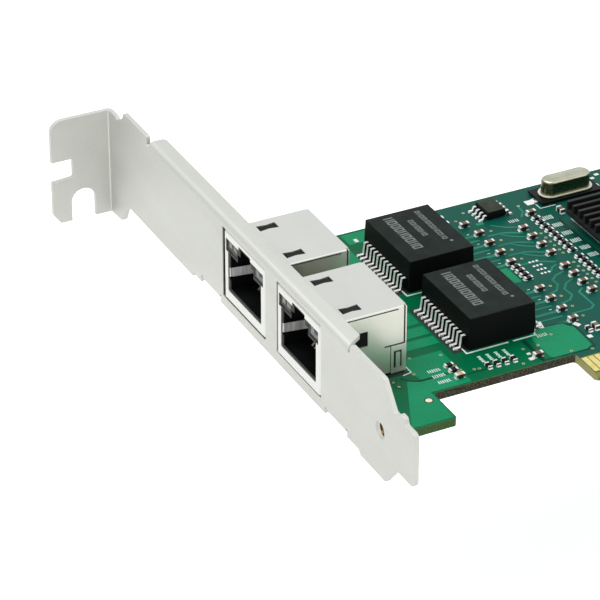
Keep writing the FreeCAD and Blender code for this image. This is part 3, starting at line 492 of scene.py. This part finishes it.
# Bare copper: orange brown and a little tarnished.
bare_copper = finish(
    "bare_copper", "#A8642C", "#C98446", drift=1.5, grain=0.3, rough=(0.35, 0.5), relief=0.002,
    Metallic=0.5
)
corner_hole = (4.31, 19.7)
open_ring = ring(*corner_hole, outer=2.0, inner=1.22, top=0.03, sides=28)
new_piece("corner_ring", [open_ring], bare_copper)


# Solder. Every end cap and lead foot sits on a tinned pad with a small concave fillet of tin alloy
# that climbs its sides. The pads' places are read from the solids themselves.
def solids_of(node):
    """Lowest and highest corner of each separate solid of a node, as an array of shape (n, 2, 3).
    The ends of every edge take the lower of their two numbers until each solid has one number."""
    shape = bmesh.new()
    shape.from_mesh(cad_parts[node].data)
    bmesh.ops.remove_doubles(shape, verts=shape.verts, dist=merge_distance)
    merged = bpy.data.meshes.new("merged")
    shape.to_mesh(merged)
    shape.free()
    points = np.empty((len(merged.vertices), 3))
    merged.vertices.foreach_get("co", points.ravel())
    edges = np.empty((len(merged.edges), 2), int)
    merged.edges.foreach_get("vertices", edges.ravel())
    bpy.data.meshes.remove(merged)
    number = np.arange(len(points))
    while np.any(number[edges[:, 0]] != number[edges[:, 1]]):
        lower = number[edges].min(axis=1)
        np.minimum.at(number, edges[:, 0], lower)
        np.minimum.at(number, edges[:, 1], lower)
    solids, member = np.unique(number, return_inverse=True)
    boxes = np.repeat([[[np.inf] * 3, [-np.inf] * 3]], len(solids), axis=0)
    np.minimum.at(boxes[:, 0], member, points)
    np.maximum.at(boxes[:, 1], member, points)
    return boxes[np.lexsort((boxes[:, 0, 1], boxes[:, 0, 0]))]


def fillets(boxes, flare, climb, points=16):
    """Solder round box-shaped ends. At height t of the climb the outline stands out along x and y
    by flare * (1 - t)^2; each outline is a rounded rectangle with corners of power 4."""
    turn = (np.arange(points) + 0.5) * (2 * math.pi / points)
    circle = np.stack([np.cos(turn), np.sin(turn)], 1)
    squared = np.sign(circle) * np.abs(circle) ** 0.5
    squared /= np.abs(squared).max()
    rise = np.array([0.0, 0.12, 0.4, 0.7, 1.0])
    flares = np.broadcast_to(flare, (len(boxes), 2))[:, None, None]
    out = flares * mm * ((1 - rise) ** 2)[:, None, None]
    centre = boxes.mean(axis=1)[:, None, None, :2]
    half = (boxes[:, 1, :2] - boxes[:, 0, :2])[:, None, None] / 2
    top = (np.minimum(boxes[:, 1, 2], climb * mm))[:, None, None]
    plan = centre + squared * (half + out)
    height = np.broadcast_to(top * rise[None, :, None], plan.shape[:3])
    grid = np.concatenate([plan, height[..., None]], 3)
    last = points * (len(rise) - 1)
    cell = np.arange(points) + points * np.arange(len(rise) - 1)[:, None]
    ahead = np.roll(cell, -1, axis=1)
    walls = np.stack([cell, ahead, ahead + points, cell + points], 2).reshape(-1, 4).tolist()
    lids = [list(range(points - 1, -1, -1)), list(range(last, last + points))]
    return [(solid.reshape(-1, 3), walls + lids) for solid in grid]


# The end caps' fillets flare towards the ends and hardly at the flanks.
joints = []
for node in sorted(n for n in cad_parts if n.endswith("_terminals")):
    ends = solids_of(node)
    sizes = ends[:, 1] - ends[:, 0]
    lies_along_x = (sizes[:, 0] < sizes[:, 1])[:, None]
    flare = np.where(lies_along_x, (0.17, 0.03), (0.03, 0.17))
    joints += fillets(ends, flare, climb=0.24)


def feet_of(leads, body, foot_length, foot_height=0.25):
    """Boxes of the lead feet: the outer stretch of each lead on its own side of the package."""
    boxes = solids_of(leads)
    middle = sum(corner.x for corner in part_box(body)) / 2
    outer = boxes[:, 0, 0] + boxes[:, 1, 0] > 2 * middle
    boxes[outer, 0, 0] = boxes[outer, 1, 0] - foot_length * mm
    boxes[~outer, 1, 0] = boxes[~outer, 0, 0] + foot_length * mm
    boxes[:, 1, 2] = foot_height * mm
    return boxes


foot_lengths = {"transformer_1": 0.9, "transformer_2": 0.9, "memory_chip": 0.55, "regulator": 1.0}
for body, foot in foot_lengths.items():
    feet = feet_of(body + "_leads", body + "_body", foot)
    joints += fillets(feet, flare=(0.14, 0.03), climb=0.14)
joints += fillets(solids_of("crystal_leads"), flare=(0.5, 0.5), climb=0.25)


def cones(places, pin, flare, reach, sides=12):
    """Solder round pins below the board: at depth t of the reach the radius is
    pin + flare * (1 - t)^2, with the same equal steps round each place, and a lid at both ends."""
    turn = np.linspace(0, 2 * math.pi, sides, endpoint=False)
    depth = np.array([0.0, 0.12, 0.35, 0.65, 1.0])[:, None]
    radius = (pin + flare * (1 - depth) ** 2) * mm
    level = (under - reach * depth) * mm + 0 * turn
    plan = np.stack([radius * np.cos(turn), radius * np.sin(turn), level], 2)
    last = sides * (len(depth) - 1)
    cell = np.arange(sides) + sides * np.arange(len(depth) - 1)[:, None]
    ahead = np.roll(cell, -1, axis=1)
    walls = np.stack([cell, cell + sides, ahead + sides, ahead], 2).reshape(-1, 4).tolist()
    lids = [list(range(sides)), list(range(last + sides - 1, last - 1, -1))]
    return [((plan + (x, y, 0)).reshape(-1, 3), walls + lids) for x, y in on_board(places)]


# Under each jack: two staggered rows of contact pins, four pins of the lights and two shield posts.
jack_middles = (61.5, 40.8)
for middle in jack_middles:
    contact_pins = [(10.3 + 2.54 * (i % 2), middle - 3.57 + 1.02 * i) for i in range(8)]
    light_pins = [(14.6, middle + offset) for offset in (-6.57, -4.03, 4.03, 6.57)]
    shield_posts = [(8.6, middle + offset) for offset in (-7.87, 7.87)]
    joints += cones(contact_pins, pin=0.26, flare=0.3, reach=0.8)
    joints += cones(light_pins, pin=0.28, flare=0.4, reach=0.8)
    joints += cones(shield_posts, pin=0.66, flare=0.5, reach=0.7)

# Molten tin alloy set smooth: nearly white, its pale tin lifted by painted sheen, with a soft
# gloss.
solder_tin = finish(
    "tin_solder", "#F0F1EF", "#FDFDFB", drift=0.6, grain=0.2, rough=(0.22, 0.34), relief=0.001,
    Metallic=0.1
)
new_piece("solder_joints", joints, solder_tin)


# Bare pads. Tinned copper where no part is fitted: an array of four by three, a few beside a module
# and single ones near the edges.
def bar(x, y, length, width, top, turn=0.0, bottom=0.0):
    """Small rectangle around a place, turned by an angle in degrees."""
    angle = math.radians(turn)
    corners = np.array([(-length, -width), (length, -width), (length, width), (-length, width)]) / 2
    along, aside = (math.cos(angle), math.sin(angle)), (-math.sin(angle), math.cos(angle))
    return patch(corners @ np.array([along, aside]) + (x, y), top, bottom)


# Each single pad: place along x and y, length, width, height and turn.
single_pads = (
    (42.4, 34.5, 0.7, 0.5, 0.05, 35), (44.1, 35.4, 0.8, 2.1, 0.05, -12),
    (41.9, 33.9, 0.6, 0.5, 0.05), (29.2, 75.6, 0.7, 1.1, 0.05), (37.6, 28.2, 0.7, 0.6, 0.05),
    (37.2, 26.6, 0.8, 0.8, 0.05), (79.4, 76.4, 0.9, 0.7, 0.06), (80.9, 77.3, 0.9, 0.7, 0.06),
    (64.2, 73.6, 1.5, 1.6, 0.06), (47.35, 76.2, 0.3, 1.0, 0.05), (47.35, 74.1, 0.3, 0.9, 0.05),
    (49.9, 32.8, 0.9, 1.3, 0.05, 25), (49.9, 28.4, 0.9, 0.9, 0.05),
)
array_pad = {"length": 0.42, "width": 0.5, "top": 0.05}
pads = [bar(x, y, **array_pad) for x in (53.3, 54.0, 54.75) for y in (54.7, 53.2, 51.75, 50.4)]
pads += [bar(*pad) for pad in single_pads]
new_piece("bare_pads", pads, solder_tin)


# Silkscreen. White epoxy ink pressed through a mesh: outlines of the modules, ticks at the small
# parts and rows of plain marks.

# Epoxy ink: matt, faintly green where the mask shines through.
ink = finish(
    "silkscreen_ink", "#D2EAE3", "#F2FAF7", drift=1.2, grain=0.15, rough=(0.5, 0.65), relief=0.004
)
ink_height = 0.055
outlines = (
    ([(28.2, 35.2), (28.2, 33.0), (36.4, 33.0)], 0.32),
    ([(37.3, 33.0), (41.8, 33.0), (41.8, 34.4)], 0.32),
    ([(28.2, 56.5), (28.2, 54.3), (44.0, 54.3)], 0.3),
    ([(16.9, 34.4), (16.9, 32.0), (15.2, 31.7)], 0.2),
    ([(65.0, 72.6), (65.0, 70.8), (68.2, 70.8)], 0.16),
    ([(68.1, 65.1), (68.1, 37.0)], 0.12),
    ([(96.0, 37.0), (96.0, 66.0)], 0.14),
)
printed = [track(points, width, ink_height) for points, width in outlines]


def marks(x, y, count, stroke, height, step):
    """Row of plain upright marks, alternately a full stroke and one with a foot beside it."""
    row = []
    for i in range(count):
        left = x + i * step
        row.append(bar(left, y, stroke, height, ink_height))
        if i % 2:
            foot = y - height / 2 + stroke / 2
            row.append(bar(left + step * 0.3, foot, step * 0.5, stroke, ink_height))
    return row


by_the_sink = ((64.6, 64.2), (64.7, 60.9), (64.7, 57.9), (64.9, 55.0), (64.9, 52.2), (64.4, 67.3))
by_the_parts = (
    (57.4, 69.0), (41.8, 32.4), (98.8, 64.4), (104.0, 70.2), (98.9, 38.0), (119.5, 49.5),
    (84.0, 34.2)
)
for y in (30.7, 28.95, 27.0):
    printed += marks(19.5, y, count=6, stroke=0.2, height=0.85, step=0.4)
for x in (29.5, 31.13, 32.76, 34.39):
    for i in range(5):
        length = 0.62 - 0.14 * (i % 2)
        printed.append(bar(x, 29.5 + 0.42 * i, length, width=0.26, top=ink_height))
for x, y in by_the_sink:
    printed += marks(x - 0.7, y, count=5, stroke=0.18, height=1.3, step=0.4)
for x, y in by_the_parts:
    printed += marks(x, y, count=5, stroke=0.15, height=0.9, step=0.42)
for y in (68.6, 64.8, 61.0, 57.1, 46.9, 43.1, 39.3):
    printed.append(bar(48.3, y - 0.3, length=0.5, width=0.14, top=ink_height))
new_piece("silkscreen", printed, ink)


# Jack shields and rear covers. Tin-plated sheet, 0.25 mm thick, stamped with windows and leaf
# springs and folded round the housing, so flat faces are bright and smooth and the folds are soft.

# Bright tin: nearly white on top, and warmer on the sides as a painted reflection of the board.
tin_plate = finish(
    "bright_tin_plate", "#D1D2CD", "#D5D6D1", drift=6.0, grain=0.5, rough=(0.28, 0.31),
    relief=0.0001, stretch=(1, 2, 1), sides=("#D6D6CB", (0, 1, 0)), Metallic=0.7
)
for jack in ("jack_1", "jack_2"):
    coated(jack + "_shield", tin_plate)
    coated(jack + "_rear_cover", tin_plate)

# Tin rubbed by plugs: the faces of the leaf springs are brushed across, and they shine in bands of
# painted sheen.
spring_sheen_tin = finish(
    "spring_tin_painted_sheen", "#9FA19E", "#FCFCFA", drift=0.9, grain=0.25, rough=(0.25, 0.4),
    relief=0.001, stretch=(1, 1, 30), Metallic=0.15
)
spring_top, spring_foot = 5.97, 4.23
spring_plan = np.array(
    [(0.4, 6.40), (1.3, 6.215), (4.8, 5.665), (4.8, 5.635), (1.3, 6.185), (0.4, 6.37)]
)
spring_faces = [
    patch(spring_plan * (1, side) + (0, middle), spring_top, spring_foot)
    for middle in jack_middles for side in (1, -1)
]
new_piece("spring_faces", spring_faces, spring_sheen_tin)

# The gap round the first jack, behind the bracket's cut-out, is deep and gets no light: dull black
# sheets fill it as painted shade.
unlit_gap = finish(
    "unlit_gap", "#050605", "#0C0D0C", drift=3.0, grain=0.4, rough=(0.7, 0.9), relief=0.001,
    Specular_IOR_Level=0.05
)
gap_front, gap_back = 0.25, 0.8
port_gap_shade = [
    sheet(gap_front, gap_back, 69.62, 70.22, top=13.1, bottom=-0.65),
    sheet(gap_front, gap_back, 53.8, 69.6, top=-0.32, bottom=-0.68),
]
new_piece("port_gap_shade", port_gap_shade, unlit_gap)


# Jack housings. Glass-filled nylon, injection moulded with a plug cavity and its latch channel, and
# snapped into the shield.

# Moulded nylon: black, with a fine grain and little shine.
nylon = finish(
    "moulded_black_nylon", "#070908", "#0F1210", drift=3.0, grain=0.2, rough=(0.30, 0.45),
    relief=0.003, Specular_IOR_Level=0.12
)
for jack in ("jack_1", "jack_2"):
    coated(jack + "_housing", nylon)


# Contacts. Eight phosphor-bronze wires in each jack, bent back into the cavity and gold plated
# where the plug touches.

# Gold on bent wire: pale gold, whitened and laid in short bright lines as a painted glint.
contact_gold = finish(
    "gold_on_bronze", "#C4B07A", "#EFE6C8", drift=0.8, grain=0.2, rough=(0.25, 0.38), relief=0.001,
    Metallic=0.9
)
for jack in ("jack_1", "jack_2"):
    softened(jack + "_contacts", contact_gold, edge=0.04)


# Lights. Diodes cast in epoxy in the jacks' upper corners, a clear one on the left and a green
# one on the right, each with its lead frame inside.

# Cast epoxy: very smooth, with pale and dark patches painted as its reflection of the room and the
# nylon.
clear_resin = finish(
    "clear_epoxy_lens", "#0C0B09", "#8A8579", drift=0.7, grain=0.3, rough=(0.12, 0.25),
    relief=0.002, Specular_IOR_Level=0.5
)
green_resin = finish(
    "green_epoxy_lens", "#0A110E", "#647F70", drift=0.8, grain=0.3, rough=(0.12, 0.25),
    relief=0.002, Specular_IOR_Level=0.5
)
for jack in ("jack_1", "jack_2"):
    softened(jack + "_left_led", clear_resin, edge=0.05)
    softened(jack + "_right_led", green_resin, edge=0.05)

# The lead frame seen through resin: dark and without shine. Each bar is given by its start and end
# as shares of the front's width, then of its height.
frame_dark = finish(
    "lead_frame_in_resin", "#0B0C0A", "#1C1E19", drift=0.5, grain=0.2, rough=(0.3, 0.45),
    relief=0.001, Specular_IOR_Level=0.2
)
frame_bars = {
    "left": ((0.0, 1.0, 0.0, 0.3), (0.86, 1.0, 0.3, 1.0), (0.4, 0.52, 0.3, 0.85)),
    "right": ((0.84, 1.0, 0.0, 1.0), (0.0, 0.84, 0.0, 0.12), (0.2, 0.5, 0.5, 0.85)),
}
frame_proud, frame_sunk, front_depth = 0.03, 0.05, 0.05
lead_frames = []
for jack in ("jack_1", "jack_2"):
    for side, bars in frame_bars.items():
        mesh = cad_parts[jack + "_" + side + "_led"].data
        points = np.empty((len(mesh.vertices), 3))
        mesh.vertices.foreach_get("co", points.ravel())
        points /= mm
        front = points[points[:, 0] < points[:, 0].min() + front_depth]
        (x, y, z), (_, wide, tall) = front.min(axis=0) - (0, tongue_end, 0), np.ptp(front, axis=0)
        for start, end, low, high in bars:
            across = (y + start * wide, y + end * wide)
            heights = (z + high * tall, z + low * tall)
            lead_frames.append(sheet(x - frame_proud, x + frame_sunk, *across, *heights))
new_piece("lead_frames", lead_frames, frame_dark)


# Transformer modules. Blocks moulded of filled black epoxy round their coils, printed on top with
# grey ink: rows of plain frames and strokes, and a dot by the first lead.
print_proud, print_sunk = 0.02, 0.01


def open_frame(x, y, tall, wide, stroke, sides, top):
    """Four sides of a small rectangle, or some: l and r run across the row, t and b along it."""
    inset = (tall - stroke) / 2
    aside = (wide - stroke) / 2
    pieces = {
        "l": (x, y - aside, tall, stroke),
        "r": (x, y + aside, tall, stroke),
        "t": (x + inset, y, stroke, wide - 2 * stroke),
        "b": (x - inset, y, stroke, wide - 2 * stroke),
    }
    heights = {"top": top + print_proud, "bottom": top - print_sunk}
    return [bar(*pieces[side], **heights) for side in sides]


def plain_rows(centre, top):
    """Three rows across the module's top, read from the side of the jacks. Each row has its place
    along x, height, start and end along y, count and stroke; a shape fills 0.82 of its step."""
    rows = (
        (-2.65, 1.9, -5.0, 7.15, 9, 0.36),
        (0.6, 1.05, -1.5, 4.7, 7, 0.22),
        (3.2, 1.0, -4.1, 7.1, 13, 0.2),
    )
    shapes = ("lrtb", "lr", "lrtb", "lrtb", "lr", "lrtb", "lrtb")
    pieces = []
    for place, tall, near, far, count, stroke in rows:
        step = (far - near) / count
        for i in range(count):
            y = centre[1] + near + (i + 0.5) * step
            shape = shapes[i % len(shapes)]
            pieces += open_frame(centre[0] + place, y, tall, 0.82 * step, stroke, shape, top)
    dot = (centre[0] + 3.85, centre[1] - 4.95, 0.33)
    pieces.append(disc(*dot, top + print_proud, top - print_sunk))
    return pieces


# Filled epoxy from a spark-eroded mould: matt and dark grey on top, where it takes the light, and
# black on the sides as painted shade.
module_epoxy = finish(
    "matt_moulded_epoxy", "#1B211E", "#262D29", drift=2.5, grain=0.14, rough=(0.55, 0.72),
    relief=0.006, sides=("#090C0B", (1, 1, 0)), Specular_IOR_Level=0.08
)
# Printed ink: a flat mid grey, as matt as the block.
print_ink = finish(
    "grey_print_ink", "#626A66", "#767E7A", drift=1.0, grain=0.12, rough=(0.55, 0.7), relief=0.004
)
for number in ("1", "2"):
    body = "transformer_" + number + "_body"
    softened(body, module_epoxy, edge=0.12)
    low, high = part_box(body)
    middle = ((low.x + high.x) / 2 / mm, (low.y + high.y) / 2 / mm - tongue_end)
    rows = plain_rows(middle, high.z / mm)
    new_piece("transformer_" + number + "_print", rows, print_ink)


# Leads. Gull-wing leads of the modules and chips, stamped from copper alloy, tinned bright and bent
# down to their pads.

# Tin plate on stamped leads: nearly white, its pale tin lifted by painted sheen, with dark sides,
# where they were sheared, painted as a reflection of the shade between the leads.
lead_tin = finish(
    "bright_tinned_lead", "#F0F1EF", "#FDFDFB", drift=0.8, grain=0.2, rough=(0.2, 0.3),
    relief=0.001, sides=("#161816", (0, 1, 0)), Metallic=0.15
)
for body in ("transformer_1", "transformer_2", "memory_chip", "regulator"):
    softened(body + "_leads", lead_tin, edge=0.04)


# Chips. Memory chip, regulator and controller, moulded of filled epoxy round their lead frames. The
# controller stands on solder balls, and a soft pad carries its heat to the sink.

# Filled epoxy: a fine matt skin, dark olive grey on top and black on the sides as painted shade.
chip_epoxy = finish(
    "olive_grey_moulded_epoxy", "#2D332A", "#40473C", drift=2.0, grain=0.12, rough=(0.5, 0.65),
    relief=0.006, sides=("#0A0C0A", (1, 1, 0)), Specular_IOR_Level=0.1
)
for body in ("memory_chip_body", "regulator_body", "controller_chip"):
    softened(body, chip_epoxy, edge=0.08)
softened("controller_solder_balls", solder_tin, edge=0.05)

# Filled silicone: soft, grey and quite without shine.
pad_rubber = finish(
    "grey_silicone_pad", "#7C7C80", "#8E8E92", drift=2.0, grain=0.2, rough=(0.7, 0.85), relief=0.01
)
softened("thermal_pad", pad_rubber, edge=0.04)


# Heat sink. Extruded aluminium with fifteen straight fins, sawn to length, black anodised and held
# on the controller by the soft pad.

# Black anodised aluminium: dark grey fin tops with fine extrusion lines along them, and black
# channels between.
anodised = finish(
    "black_anodised_aluminium", "#1E1E1F", "#2E2E30", drift=4.0, grain=0.15, rough=(0.38, 0.5),
    relief=0.004, stretch=(40, 1, 1), Metallic=0.6, Specular_IOR_Level=0.3
)
softened("heat_sink", anodised, edge=0.10)


# Crystal. A drawn nickel-silver can, resistance welded to its base, stands on a black plastic seat,
# with two flat leads to its pads.

# Drawn nickel silver: warm pale grey on top, and darker on the sides as a painted reflection of the
# board.
nickel_silver = finish(
    "drawn_nickel_silver", "#A9A994", "#C4C4B2", drift=1.6, grain=0.22, rough=(0.24, 0.36),
    relief=0.004, stretch=(2, 1, 1), sides=("#6E6E54", (1, 1, 0)), Metallic=1.0
)
softened("crystal_can", nickel_silver, edge=0.07)
softened("crystal_seat", nylon, edge=0.06)


def oblong(centre, length, width, strip, top, bottom, steps=10):
    """Strip round an oblong, length by width outside: two half circles of equal steps, joined by
    straight sides, with the same outline drawn in by the strip's width as its inner edge."""
    turn = np.linspace(-math.pi / 2, math.pi / 2, steps)
    half_round = np.stack([np.cos(turn), np.sin(turn)], 1)
    straight = (length - width) / 2
    outlines = []
    for radius in (width / 2, width / 2 - strip):
        right = half_round * radius + (straight, 0)
        outlines.append(np.vstack([right, -right]) + centre)
    flat = on_board(np.vstack(outlines))
    n = 2 * steps
    heights = np.repeat([bottom * mm, top * mm], 2 * n)[:, None]
    vertices = np.hstack([np.tile(flat, (2, 1)), heights])
    outer = np.arange(n)
    ahead = np.roll(outer, -1)
    quads = [
        np.stack([outer + 2 * n, ahead + 2 * n, ahead + 3 * n, outer + 3 * n], 1),
        np.stack([ahead, outer, outer + n, ahead + n], 1),
        np.stack([outer, ahead, ahead + 2 * n, outer + 2 * n], 1),
        np.stack([ahead + n, outer + n, outer + 3 * n, ahead + 3 * n], 1),
    ]
    return vertices, np.vstack(quads).tolist()


# Painted highlight: a bright ring over the can's welded rim, where its rounded edge catches the
# light.
rim_highlight_finish = finish(
    "rim_painted_highlight", "#E6E6D8", "#F8F8EE", drift=1.0, grain=0.2, rough=(0.3, 0.42),
    relief=0.001, Metallic=0.3
)
can_low, can_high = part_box("crystal_can")
can_centre = ((can_low.x + can_high.x) / 2 / mm, (can_low.y + can_high.y) / 2 / mm - tongue_end)
rim_top = 1.0
rim_size = {"length": 11.0, "width": 4.35, "strip": 0.36}
rim = oblong(can_centre, **rim_size, top=rim_top + 0.03, bottom=rim_top - 0.05)
new_piece("crystal_rim_highlight", [rim], rim_highlight_finish)
softened("crystal_leads", lead_tin, edge=0.04)


# Small parts. Ceramic capacitors, glazed film resistors and resin-moulded tantalums. Their ends are
# dipped in silver and tinned.

# Fired ceramic: warm brown and dull, with nearly black flanks as painted shade.
ceramic = finish(
    "fired_ceramic", "#5A3E2B", "#8E6A4A", drift=0.9, grain=0.15, rough=(0.4, 0.55), relief=0.003,
    sides=("#140E0A", (1, 1, 0))
)
# Glaze over a film resistor: black, with a soft gloss.
glaze = finish(
    "resistor_glaze", "#0A0C0D", "#181A1D", drift=0.8, grain=0.15, rough=(0.3, 0.45), relief=0.003,
    Specular_IOR_Level=0.2
)
# Moulded resin: plain ochre.
resin = finish(
    "ochre_resin", "#A87418", "#C58F2E", drift=1.5, grain=0.2, rough=(0.45, 0.6), relief=0.005
)
# Tinned ends: white on top, its pale tin lifted by painted sheen, and grey on the flanks as painted
# shade.
end_tin = finish(
    "tinned_end_cap", "#F3F4F2", "#FEFEFC", drift=0.5, grain=0.15, rough=(0.25, 0.38),
    relief=0.002, sides=("#4C4E4C", (0, 1, 0)), Metallic=0.1
)
small_parts = (
    ("capacitor", ceramic, "brown_ceramic"),
    ("resistor", glaze, "black_glaze"),
    ("tiny_part", glaze, "black_glaze"),
    ("tantalum_capacitor", resin, "ochre_resin"),
)
for kind, material, slot in small_parts:
    softened(kind + "_bodies", material, edge=0.04)
    softened(kind + "_terminals", end_tin, edge=0.06)

# One capacitor near the front edge is fired paler than the rest, a light buff.
pale_ceramic = finish(
    "pale_fired_ceramic", "#B5A17C", "#D2C29E", drift=0.9, grain=0.15, rough=(0.4, 0.55),
    relief=0.003
)
pale_place = (23.5, 26.97)
pale_skin = 0.02
chips = solids_of("capacitor_bodies") / mm - (0, tongue_end, 0)
distances = np.abs(chips.mean(axis=1)[:, :2] - pale_place).sum(axis=1)
(left, near, _), (right, far, top) = chips[np.argmin(distances)]
pale_top = sheet(left, right, near, far, top + pale_skin, top - pale_skin)
new_piece("pale_capacitor_top", [pale_top], pale_ceramic)


# Floor, lamps and camera. A pale floor some way below the card keeps its faint shadow. One broad
# soft lamp overhead and two weaker ones from the left and right front light it evenly.
def shown_to_eye(tree):
    """One where a camera, glossy or transmitted ray looks, and nought for other rays."""
    path = add(tree, "ShaderNodeLightPath", {}, {}).outputs
    larger = {"operation": "MAXIMUM"}
    seen = {0: path["Is Camera Ray"], 1: path["Is Glossy Ray"]}
    seen = {0: add(tree, "ShaderNodeMath", larger, seen).outputs[0], 1: path["Is Transmission Ray"]}
    return add(tree, "ShaderNodeMath", larger, seen).outputs[0]


floor_half, floor_drop, floor_glow = 2.5, 0.045, 0.68
floor_corners = np.array([(-1, -1, 0), (1, -1, 0), (1, 1, 0), (-1, 1, 0)]) * floor_half
floor_corners += (0, 0, cad_low.z - floor_drop)
floor_mesh = bpy.data.meshes.new("floor")
floor_mesh.from_pydata(floor_corners.tolist(), [], [(0, 1, 2, 3)])
floor = bpy.data.objects.new("floor", floor_mesh)
bpy.context.scene.collection.objects.link(floor)

# Matt white paper, which glows a little for the eye alone, so that it looks white all over.
floor_paper = bpy.data.materials.new("white_paper")
floor_paper.use_nodes = True
paper_tree = floor_paper.node_tree
paper_shader = paper_tree.nodes["Principled BSDF"]
paper_shader.inputs["Base Color"].default_value = (0.8, 0.8, 0.8, 1)
paper_shader.inputs["Roughness"].default_value = 0.9
glow_amount = {"operation": "MULTIPLY", 1: floor_glow}
glow = add(paper_tree, "ShaderNodeMath", glow_amount, {0: shown_to_eye(paper_tree)}).outputs[0]
glow = add(paper_tree, "ShaderNodeEmission", {}, {"Strength": glow}).outputs[0]
paper = add(paper_tree, "ShaderNodeAddShader", {}, {0: paper_shader.outputs[0], 1: glow}).outputs[0]
paper_tree.links.new(paper, paper_tree.nodes["Material Output"].inputs[0])
floor_mesh.materials.append(floor_paper)

scene = bpy.context.scene
scene.view_settings.view_transform = "Standard"
world = bpy.data.worlds.new("studio")
scene.world = world
world.use_nodes = True
sky_tree = world.node_tree
sky = sky_tree.nodes["Background"].inputs
sky["Color"].default_value = (0.98, 0.99, 1.0, 1)
sky_light = {3: 0.42, 4: 1.0}
sky_strength = add(sky_tree, "ShaderNodeMapRange", sky_light, {0: shown_to_eye(sky_tree)})
sky_tree.links.new(sky_strength.outputs[0], sky["Strength"])


def lamp(name, place, target, size, power):
    """Square area lamp that faces a point."""
    light = bpy.data.lights.new(name, "AREA")
    light.size = size
    light.energy = power
    holder = bpy.data.objects.new(name, light)
    holder.location = place
    holder.rotation_euler = (Vector(target) - Vector(place)).to_track_quat("-Z", "Y").to_euler()
    scene.collection.objects.link(holder)


card_middle = (cad_low + cad_high) / 2
lamp("overhead", (-0.15, 0.10, 0.75), card_middle, size=0.6, power=3.7)
lamp("left_front", (-0.65, -0.55, 0.35), card_middle, size=0.6, power=1.3)
lamp("right_front", (0.45, -0.62, 0.55), card_middle, size=0.4, power=0.9)

# The camera stands where the photo was taken from: its place in mm from the bracket's face and the
# tongue's end, its turn and dip in degrees, and its focal length in pixels of a photo 600 wide.
focal_pixels, photo_width = 3186.94, 600
azimuth, dip = math.radians(26.765), math.radians(31.073)
sideways, ahead = math.sin(azimuth) * math.cos(dip), math.cos(azimuth) * math.cos(dip)
sight = Vector((sideways, ahead, -math.sin(dip)))
view = bpy.data.cameras.new("photo_view")
view.sensor_width = 36.0
view.lens = focal_pixels / photo_width * view.sensor_width
view.clip_start = 0.05
view.clip_end = 20.0
camera = bpy.data.objects.new("photo_view", view)
camera.location = Vector((-204.546, -365.367 + tongue_end, 288.185)) * mm
camera.rotation_euler = sight.to_track_quat("-Z", "Y").to_euler()
scene.collection.objects.link(camera)
scene.camera = camera
